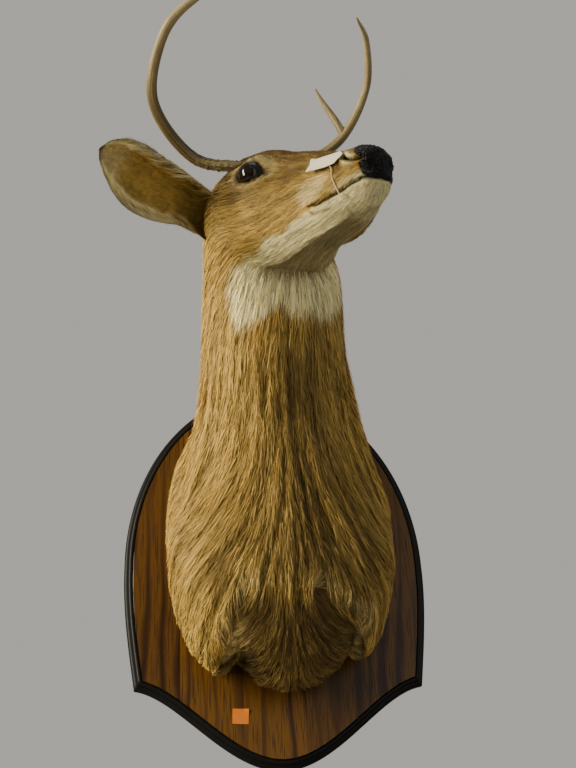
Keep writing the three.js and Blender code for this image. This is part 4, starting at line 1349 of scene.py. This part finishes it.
def finish_coat(name, verts, triangles, values, material):
    bake = values.pop("bake")[triangles.ravel()]
    finish_piece(put_mesh(name, verts, triangles, material, values, bake), "coat")


# ---- Antlers ----------------------------------------------------------------------------------

BEAMS = {
    "right": (
        -1, ((-38, 28, 25), (-86, 79, 46), (-65, 149, 101), (-15, 161, 166), (25, 136, 204), (63, 92, 225)),
        (7.4, 7.3, 6.9, 6.3, 5.0, 1.4),
    ),
    "left": (
        1, ((-38, 28, 25), (-81, 85, 54), (-55, 150, 102), (-13, 165, 163), (26, 137, 209), (60, 91, 220)),
        (7.4, 7.3, 6.4, 5.6, 4.4, 1.4),
    ),
}
TINE = (1, ((-52, 153, 108), (-58, 142, 131), (-62, 128, 152), (-58, 110, 170)), (5.6, 5, 3.8, 1.2))


def antler_bar(side, route, radii, rows, columns, burr, seed):
    """A tapering bar with lengthwise furrows, and pearls near its base, which goes down into the hair."""
    s = np.linspace(0, 1, rows)
    centre = from_head(through(route, s * (len(route) - 1)) * (1, side, 1))
    radius = through(radii, s * (len(radii) - 1))
    radius = np.where(s > 0.97, radius * np.sqrt(np.clip((1.001 - s) / 0.031, 0.02, 1)), radius)
    angle = 2 * math.pi * np.arange(columns) / columns
    grid_s, grid_angle = np.meshgrid(s, angle, indexing="ij")
    plain = tube_along(centre, np.repeat(radius[:, None], columns, axis=1), columns)
    furrows = np.sin(7 * grid_angle + 5 * np.sin(3 * grid_s + seed))
    furrows = furrows + 0.7 * np.sin(11 * grid_angle - 9 * grid_s + seed)
    furrows = -np.abs(furrows) * 0.24 + 0.14
    depth = 1.0 - 0.75 * smooth(grid_s, 0.1, 0.8)
    pearls = np.maximum(ripple(plain, 5.0, 71 + seed, 9), 0) * (1 - smooth(grid_s, 0.08, 0.3))
    relief = furrows * depth * (0.9 + radius[:, None] * 0.25) + 1.2 * pearls * burr
    relief = relief * np.clip(radius[:, None] / 4, 0.15, 1)
    points = tube_along(centre, radius[:, None] + relief, columns)
    hollow = smooth(-relief, -0.3, 0.35)
    return points, grid_s, hollow


def antler_material(antlers):
    material, tree, shader = new_material(
        "Antler", {"Specular IOR Level": 0.45, "Coat Weight": 0.12, "Coat Roughness": 0.35}
    )
    height, hollow = attribute(tree, "height"), attribute(tree, "hollow")
    place = object_space(tree)
    streaks = noise(tree, place, 170.0, 4.0, 0.65, 0.6)
    patches = noise(tree, place, 28.0, 3.0)
    level = plus(tree, height, maths(tree, "SUBTRACT", patches, 0.5), 0.35)
    base, shaft, tip = ((*c, 1) for c in (antlers.base, antlers.shaft, antlers.tip))
    foot = blend(tree, 0.45, base, shaft)
    body = ramp(tree, level, [(0.4, (0, 0, 0)), (0.95, (1, 1, 1))])
    body = blend(tree, body, shaft, tip)
    low = maths(tree, "MULTIPLY", level, 2.4, True)
    body = blend(tree, low, foot, body)
    dark = plus(tree, hollow, streaks, 0.5, True)
    fade = plus(tree, 1.0, height, -0.75)
    colour = blend(tree, maths(tree, "MULTIPLY", dark, fade, True), body, base)
    drive(tree, shader, colour=mottled(tree, colour, 60.0, 0.35), normal=bump(tree, streaks, 0.35, 0.5),
          roughness=plus(tree, 0.32, streaks, 0.3))
    return material


def build_antlers(antlers):
    """Both beams, and the one short tine that stands up from the left one."""
    material = antler_material(antlers)
    shapes = [
        ("antler_beam_right", "antler_right", BEAMS["right"], 150, 30, 1, 1),
        ("antler_beam_left", "antler_left", BEAMS["left"], 150, 30, 1, 4),
        ("antler_tine", "antler_left_tine", TINE, 60, 24, 0, 2),
    ]
    for name, node, (side, route, radii), rows, columns, burr, seed in shapes:
        points, place, hollow = antler_bar(side, route, radii, rows, columns, burr, seed)
        if side > 0:
            place = mix(0.2 if burr else 0.5, 1.0, place)
        verts, quads, caps = closed_grid(points)
        values = {
            "height": np.concatenate([place.ravel(), [0, 1]]),
            "hollow": np.concatenate([hollow.ravel(), [0, 0]]),
        }
        piece = put_mesh(name, verts, [quads, caps], material, values)
        finish_piece(piece, "antler", node)


# ---- Tag and string ---------------------------------------------------------------------------

TAG = {"length": 52, "width": 21, "thickness": 0.5, "cut": 8, "centre": (121, -31.5, -18), "turn": 0.1}
TAG_OUT = (0.14, -0.8, 0.58)
STRING_ROUTE = (
    (121, -33.5, -22), (131, -33, -29), (136, -36.5, -43),
    (142, -37, -56), (147, -35.5, -68), (150, -33.5, -74),
)


def build_tag():
    """A thin card with two cut corners, bowed along its length and with one bent corner."""
    out = unit(np.asarray(TAG_OUT) @ AXES)
    along = np.array([1, 0, TAG["turn"]]) @ AXES
    along = unit(along - out * dot(along, out))
    across = np.cross(out, along)
    rows, side = 40, 14
    x = np.linspace(-0.5, 0.5, rows) * TAG["length"]
    half = TAG["width"] / 2 - np.maximum(0, x - (TAG["length"] / 2 - TAG["cut"]))
    t = np.linspace(-1, 1, side)
    y = np.concatenate([t, t[::-1]])[None] * half[:, None]
    face = np.repeat([1.0, -1.0], side)[None]
    x = np.repeat(x[:, None], 2 * side, axis=1)
    bow = 1.3 * (x / 26) ** 2 - 0.9 + 0.5 * np.sin(y / 5 + x / 9)
    bow = bow + 2.2 * smooth(-x, 16, 26) * smooth(y, 0, 10)
    points = from_head(TAG["centre"]) + along * x[..., None] + across * y[..., None]
    points = points + out * (bow + 0.6 + face * TAG["thickness"] / 2)[..., None]
    surface = Surface(points)
    if dot(surface.normal[rows // 2, side // 2], out) < 0:
        points = points[:, ::-1]
    verts, quads, caps = closed_grid(points)
    material = grained_material(
        "Tag card", {"Specular IOR Level": 0.25}, (0.78, 0.73, 0.58), (70.0, 0.12), (1100.0, 3.0),
        (0.3, 0.2), (0.6, 0.3),
    )
    finish_piece(put_mesh("tag_card", verts, [quads, caps], material, smooth_angle=0.9), "card", "muzzle_tag")


def build_string():
    """A thin bar whose ripple stands for three twisted strands."""
    rows, columns = 150, 12
    s = np.linspace(0, 1, rows)
    route = from_head(through(STRING_ROUTE, s * (len(STRING_ROUTE) - 1)))
    angle = 2 * math.pi * np.arange(columns) / columns
    radius = 0.62 + 0.12 * np.cos(3 * angle[None] + s[:, None] * 190)
    verts, quads, caps = closed_grid(tube_along(route, radius, columns))
    material = grained_material(
        "Cotton string", {"Specular IOR Level": 0.2, "Sheen Weight": 0.3}, (0.66, 0.55, 0.36), (300.0, 0.4),
        (2500.0, 2.0), (0.4, 0.1), (0.65, 0.25),
    )
    finish_piece(put_mesh("cotton_string", verts, [quads, caps], material), "string", "tag_string")


# ---- Plaque -----------------------------------------------------------------------------------

ARCH_HALF_WIDTH, ARCH_HEIGHT = 216, 279
CORNER, TIP = (200, -174), -283
BOARD_THICKNESS = 19
# The edge's profile from the rim inwards: distance from the rim and distance from the wall.
MOULDING = (
    (0, 0), (0, 4), (0, 7.5), (0.5, 9.4), (1.6, 10.9), (3.2, 11.9), (4.9, 12.3), (5.6, 12.4), (5.8, 13.5),
    (6.3, 14.9), (7.3, 16.1), (8.7, 16.8), (10.2, 17.0), (11.6, 16.7), (12.45, 15.9), (12.6, 14), (12.6, 7),
    (12.6, 0),
)


def bezier(points, count):
    t = np.linspace(0, 1, count + 1)[1:, None]
    a, b, c, d = np.asarray(points, float)
    return (1 - t) ** 3 * a + 3 * (1 - t) ** 2 * t * b + 3 * (1 - t) * t**2 * c + t**3 * d


def plaque_outline():
    """The shield, clockwise from the top: a half ellipse, a side drawn in to a corner and an ogee."""
    angle = np.linspace(0, math.pi / 2, 61)[:, None]
    arch = np.concatenate([ARCH_HALF_WIDTH * np.sin(angle), ARCH_HEIGHT * np.cos(angle)], axis=1)
    w, (x, z) = ARCH_HALF_WIDTH, CORNER
    side = bezier([(w, 0), (w + 2, -60), (x + 8, z + 54), (x, z)], 24)
    ogee = bezier([(x, z), (x - 60, z - 9), (x - 124, TIP), (0, TIP)], 48)
    half = np.concatenate([arch, side, ogee])
    return np.concatenate([half, half[-2:0:-1] * (-1, 1)])


def inset(outline, distance):
    """The outline moved inwards by a distance, its corners mitred."""
    def inward(start, end):
        along = unit(end - start)
        return np.stack([along[:, 1], -along[:, 0]], axis=-1)

    one, other = inward(np.roll(outline, 1, axis=0), outline), inward(outline, np.roll(outline, -1, axis=0))
    return outline + (one + other) * (distance / (1 + dot(one, other)))[:, None]


def refinish(node, material):
    """Gives a solid of the frame another material."""
    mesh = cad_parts[node].data
    mesh.materials.clear()
    mesh.materials.append(material)


def build_plaque(plaque):
    """The moulded edge as a profile carried round the shield, and finishes for the board and hanger."""
    outline = plaque_outline()
    grid = []
    for distance, forward in MOULDING:
        ring = inset(outline, distance)
        grid.append(np.stack([ring[:, 0], np.full(len(ring), -float(forward)), ring[:, 1]], axis=-1))
    points = np.stack(grid)
    quads = Surface(points).faces()[0]
    rows, columns = points.shape[:2]
    here = np.arange(columns)
    after, last = (here + 1) % columns, (rows - 1) * columns
    faces = np.concatenate([quads, np.stack([last + here, here, after, last + after], axis=-1)])
    if Surface(points).normal[12, 5, 1] > 0:  # on the crown of the profile, which faces the room
        faces = faces[:, ::-1]
    material = grained_material(
        "Black moulding", {"Specular IOR Level": 0.22}, plaque.edge, (30.0, 0.5), (260.0, 3.0),
        (0.15, 0.3), (0.36, 0.22),
    )
    piece = put_mesh("edge_moulding", points.reshape(-1, 3), faces, material, smooth_angle=0.7)
    finish_piece(piece, "black_edge", "plaque_edge")
    refinish("plaque_board", oak_material(plaque))
    refinish("hanger_strip", grained_material(
        "Zinced steel", {"Metallic": 1.0}, (0.52, 0.51, 0.48), (90.0, 0.3), (3.0, 3.0), (0.2, 0.1),
        (0.25, 0.3), stretch=(40, 400, 900),
    ))


def oak_material(plaque):
    """Stained oak: upright staves, each with flame figure, fine dark pores and its own tone."""
    material, tree, shader = new_material(
        "Stained oak", {"Specular IOR Level": 0.3, "Coat Weight": 0.12, "Coat Roughness": 0.3}
    )
    place = add(tree, "ShaderNodeTexCoord").outputs["Object"]
    split = add(tree, "ShaderNodeSeparateXYZ", {"Vector": place}).outputs
    stave = maths(tree, "FLOOR", maths(tree, "DIVIDE", maths(tree, "ADD", split["X"], 0.31), 0.086))
    lot = add(tree, "ShaderNodeTexWhiteNoise", {"W": stave}, noise_dimensions="1D").outputs
    spread = {0: lot["Color"], 1: (3.0, 1.0, 5.0)}
    shift = add(tree, "ShaderNodeVectorMath", spread, operation="MULTIPLY").outputs[0]
    moved = add(tree, "ShaderNodeVectorMath", {0: place, 1: shift}, operation="ADD").outputs[0]

    def stretched(scale):
        return add(tree, "ShaderNodeMapping", {"Vector": moved, "Scale": scale}).outputs["Vector"]

    figure = add(
        tree, "ShaderNodeTexWave",
        {"Vector": stretched((1, 1, 0.16)), "Scale": 13.0, "Distortion": 14.0, "Detail": 3.0,
         "Detail Scale": 0.8, "Detail Roughness": 0.6},
        wave_type="BANDS", bands_direction="X", wave_profile="SIN",
    ).outputs["Fac"]
    pores = noise(tree, stretched((1, 1, 0.035)), 700.0, 3.0, 0.6)
    long_tone = noise(tree, stretched((1, 1, 0.1)), 16.0, 4.0)
    light, dark = (*plaque.oak_light, 1), (*plaque.oak_dark, 1)
    amount = plus(tree, maths(tree, "MULTIPLY", figure, 0.4), long_tone, 0.8)
    colour = ramp(tree, amount, [(0.34, dark), (0.58, light), (0.85, light), (1.0, dark)])
    pore_mask = ramp(tree, pores, [(0.4, (1, 1, 1)), (0.49, (0, 0, 0))])
    pore_share = plus(tree, 0.4, figure, 0.5)
    colour = blend(tree, maths(tree, "MULTIPLY", pore_mask, pore_share), colour, dark)
    colour = shaded(tree, colour, plus(tree, 0.78, lot["Value"], 0.42))
    height = maths(tree, "SUBTRACT", maths(tree, "MULTIPLY", figure, 0.3), pore_mask)
    drive(tree, shader, colour=colour, normal=bump(tree, height, 0.25, 0.2),
          roughness=plus(tree, 0.34, pore_mask, 0.2))
    return material


STICKER = {"width": 22, "height": 20, "x": -57, "z": -213, "turn": 0.04}


def build_sticker(plaque):
    """A small blank paper square, pressed flat but for one lifting corner."""
    count = 24
    a, b = np.meshgrid(np.linspace(-0.5, 0.5, count), np.linspace(-0.5, 0.5, count), indexing="ij")
    x, z = a * STICKER["width"], b * STICKER["height"]
    lifted = 1.6 * smooth(a + b, 0.55, 1.0) + 0.25 * smooth(-a - b, 0.6, 1.0)
    x, z = rotated(x, z, -STICKER["turn"])
    places = [x + STICKER["x"], -BOARD_THICKNESS - 0.35 - lifted, z + STICKER["z"]]
    front = np.stack(places, axis=-1).reshape(-1, 3)
    back = front + (0, 0.15, 0)
    i, j = np.meshgrid(np.arange(count - 1), np.arange(count - 1), indexing="ij")
    k = (i * count + j).ravel()
    sheet = np.stack([k, k + count, k + count + 1, k + 1], axis=-1)
    rim = np.concatenate([
        np.arange(count - 1) * count, (count - 1) * count + np.arange(count - 1),
        (np.arange(count - 1, 0, -1)) * count + count - 1, np.arange(count - 1, 0, -1),
    ])
    following = np.roll(rim, -1)
    under = count * count
    edge = np.stack([rim, rim + under, following + under, following], axis=-1)
    material = grained_material(
        "Orange paper", {"Specular IOR Level": 0.3}, plaque.sticker, (120.0, 0.16), (1500.0, 2.0),
        (0.15, 0.1), (0.5, 0.25),
    )
    faces = np.concatenate([sheet, sheet[:, ::-1] + under, edge])
    piece = put_mesh("blank_sticker", np.concatenate([front, back]), faces, material, smooth_angle=0.8)
    return finish_piece(piece, "sticker", "price_sticker")


# ---- Stage ------------------------------------------------------------------------------------

CAMERA_PLACE = (-0.206, -1.6, -0.523)
CAMERA_RIGHT = (0.9911, -0.1249, -0.0451)
CAMERA_UP = (-0.017, -0.4559, 0.8899)
CAMERA_AHEAD = (0.1317, 0.8812, 0.4540)
FOCAL_LENGTH, SENSOR = 54.09, 36.0
FLOOR_LEVEL, FLOOR_HALF = -1.75, 6.0


def aim(place, target):
    from mathutils import Vector

    return (Vector(target) - Vector(place)).to_track_quat("-Z", "Y").to_euler()


def build_stage(stage):
    """A plain floor, three soft area lamps, an even pale surround and the camera."""
    from mathutils import Matrix

    scene = bpy.context.scene
    signs = ((-1, -1), (1, -1), (1, 1), (-1, 1))
    corners = [(x * FLOOR_HALF, y * FLOOR_HALF, FLOOR_LEVEL) for x, y in signs]
    mesh = bpy.data.meshes.new("floor")
    mesh.from_pydata(corners, [], [(0, 1, 2, 3)])
    material, tree, shader = new_material("Plain floor", {"Specular IOR Level": 0.2})
    grain = noise(tree, object_space(tree), 3.0, 2.0)
    drive(tree, shader, colour=ramp(tree, grain, [(0.3, (0.28, 0.27, 0.26)), (0.7, (0.33, 0.32, 0.31))]),
          roughness=plus(tree, 0.7, grain, 0.2))
    mesh.materials.append(material)
    floor = bpy.data.objects.new("floor", mesh)
    scene.collection.objects.link(floor)

    target = (0.0, -0.2, 0.1)
    lamps = (
        ("key", (-2.6, -1.1, 0.6), (0.6, 2.0), stage.key, (1.0, 0.91, 0.72)),
        ("fill", (1.7, -2.4, 0.3), (1.6, 1.6), stage.fill, (1.0, 0.97, 0.92)),
        ("top", (0.2, -0.9, 2.7), (1.4, 1.4), stage.top, (1.0, 0.97, 0.90)),
    )
    for name, place, (width, tall), power, colour in lamps:
        data = bpy.data.lights.new(name, "AREA")
        data.shape, data.size, data.size_y = "RECTANGLE", width, tall
        data.energy, data.color = power, colour
        lamp = bpy.data.objects.new(name, data)
        lamp.location, lamp.rotation_euler = place, aim(place, target)
        scene.collection.objects.link(lamp)
    world = bpy.data.worlds.new("surround")
    world.use_nodes = True
    tree = world.node_tree
    seen = add(tree, "ShaderNodeLightPath").outputs["Is Camera Ray"]
    wall, room = (0.46, 0.44, 0.40, 1), tuple(stage.surround * v for v in (0.86, 0.87, 0.88)) + (1,)
    connect(tree, blend(tree, seen, room, wall), tree.nodes["Background"].inputs["Color"])
    scene.world = world

    data = bpy.data.cameras.new("camera")
    data.sensor_fit, data.sensor_height, data.lens = "VERTICAL", SENSOR, FOCAL_LENGTH
    data.clip_start, data.clip_end = 0.05, 30.0
    camera = bpy.data.objects.new("camera", data)
    back = [-v for v in CAMERA_AHEAD]
    turn = Matrix((CAMERA_RIGHT, CAMERA_UP, back)).transposed().to_4x4()
    camera.matrix_world = Matrix.Translation(CAMERA_PLACE) @ turn
    scene.collection.objects.link(camera)
    scene.camera = camera


# ---- Settings, operators and panel ------------------------------------------------------------


def colour_property(name, description, default):
    return bpy.props.FloatVectorProperty(
        name=name, description=description, default=default, subtype="COLOR", size=3, min=0.0, max=1.0
    )


def power_property(name, description, default):
    return bpy.props.FloatProperty(name=name, description=description, default=default, min=0, unit="POWER")


class CoatSettings(bpy.types.PropertyGroup):
    density: bpy.props.FloatProperty(
        name="Hair share", description="Share of the full number of locks", default=1.0, min=0.02, max=1.05
    )
    golden: colour_property("Golden", "Lighter hair of the body", (0.66, 0.445, 0.11))
    tan: colour_property("Tan", "Darker hair of the body", (0.36, 0.22, 0.05))
    brown: colour_property("Brown", "Forehead, brisket and stripe of the neck", (0.12, 0.070, 0.019))
    cream: colour_property("Cream", "Throat, chin and sides of the muzzle", (0.86, 0.78, 0.44))
    black: colour_property("Black", "Hair and bare skin at eyes, nostrils and lips", (0.014, 0.010, 0.007))
    ochre: colour_property("Ochre", "Inside of the ears", (0.66, 0.44, 0.10))


class AntlerSettings(bpy.types.PropertyGroup):
    base: colour_property("Base", "Furrowed foot of the antlers", (0.045, 0.030, 0.012))
    shaft: colour_property("Shaft", "Middle of the beams", (0.36, 0.27, 0.10))
    tip: colour_property("Tip", "Polished points", (0.66, 0.52, 0.26))


class PlaqueSettings(bpy.types.PropertyGroup):
    oak_light: colour_property("Light oak", "Stained wood between the figure's lines", (0.145, 0.064, 0.007))
    oak_dark: colour_property("Dark oak", "Lines and pores of the stained wood", (0.036, 0.014, 0.003))
    edge: colour_property("Edge", "Painted moulding", (0.006, 0.0055, 0.005))
    sticker: colour_property("Sticker", "Paper sticker", (0.86, 0.23, 0.02))


class StageSettings(bpy.types.PropertyGroup):
    key: power_property("Key", "Main lamp", 140.0)
    fill: power_property("Fill", "Lamp on the other side", 12.0)
    top: power_property("Top", "Lamp above", 5.0)
    surround: bpy.props.FloatProperty(
        name="Surround", description="Strength of the even light", default=0.235, min=0
    )


class MOUNT_OT_hide(bpy.types.Operator):
    """The skin of the body, head, ears and foreleg stumps"""

    bl_idname, bl_label = "mount.hide", "Hide"

    def execute(self, context):
        build_skin(context.scene.mount_coat)
        return {"FINISHED"}


class MOUNT_OT_nose(bpy.types.Operator):
    """The bare pebbled nose"""

    bl_idname, bl_label = "mount.nose", "Nose"

    def execute(self, context):
        build_nose()
        return {"FINISHED"}


class MOUNT_OT_eyes(bpy.types.Operator):
    """The glass eyes and their lids"""

    bl_idname, bl_label = "mount.eyes", "Eyes and lids"

    def execute(self, context):
        build_eyes()
        build_lids()
        return {"FINISHED"}


class MOUNT_OT_coat(bpy.types.Operator):
    """All the locks of hair"""

    bl_idname, bl_label = "mount.coat", "Coat"

    def execute(self, context):
        build_coat(context.scene.mount_coat)
        return {"FINISHED"}


class MOUNT_OT_antlers(bpy.types.Operator):
    """The antlers"""

    bl_idname, bl_label = "mount.antlers", "Antlers"

    def execute(self, context):
        build_antlers(context.scene.mount_antlers)
        return {"FINISHED"}


class MOUNT_OT_tag(bpy.types.Operator):
    """The card tag and its string"""

    bl_idname, bl_label = "mount.tag", "Tag and string"

    def execute(self, context):
        build_tag()
        build_string()
        return {"FINISHED"}


class MOUNT_OT_plaque(bpy.types.Operator):
    """The moulding, the board's and hanger's finishes, and the sticker"""

    bl_idname, bl_label = "mount.plaque", "Plaque"

    def execute(self, context):
        build_plaque(context.scene.mount_plaque)
        build_sticker(context.scene.mount_plaque)
        return {"FINISHED"}


class MOUNT_OT_stage(bpy.types.Operator):
    """Floor, lamps and camera"""

    bl_idname, bl_label = "mount.stage", "Stage"

    def execute(self, context):
        build_stage(context.scene.mount_stage)
        return {"FINISHED"}


STEPS = ("plaque", "hide", "nose", "eyes", "coat", "antlers", "tag", "stage")


class MOUNT_PT_panel(bpy.types.Panel):
    """Sizes and colours of the mount, and a button for each step"""

    bl_idname, bl_label = "MOUNT_PT_panel", "Deer shoulder mount"
    bl_space_type, bl_region_type, bl_category = "VIEW_3D", "UI", "Mount"

    def draw(self, context):
        for settings in ("coat", "antlers", "plaque", "stage"):
            group = getattr(context.scene, f"mount_{settings}")
            box = self.layout.box()
            for key in group.__annotations__:
                box.prop(group, key)
        for step in STEPS:
            self.layout.operator(f"mount.{step}")


CLASSES = (
    CoatSettings, AntlerSettings, PlaqueSettings, StageSettings, MOUNT_OT_hide, MOUNT_OT_nose,
    MOUNT_OT_eyes, MOUNT_OT_coat, MOUNT_OT_antlers, MOUNT_OT_tag, MOUNT_OT_plaque, MOUNT_OT_stage,
    MOUNT_PT_panel,
)
SETTINGS = {
    "mount_coat": CoatSettings, "mount_antlers": AntlerSettings,
    "mount_plaque": PlaqueSettings, "mount_stage": StageSettings,
}


def register():
    for cls in CLASSES:
        bpy.utils.register_class(cls)
    for name, cls in SETTINGS.items():
        setattr(bpy.types.Scene, name, bpy.props.PointerProperty(type=cls))


def unregister():
    for name in SETTINGS:
        delattr(bpy.types.Scene, name)
    for cls in reversed(CLASSES):
        bpy.utils.unregister_class(cls)


def main():
    register()
    for step in STEPS:
        getattr(bpy.ops.mount, step)()


if __name__ == "__main__":
    main()
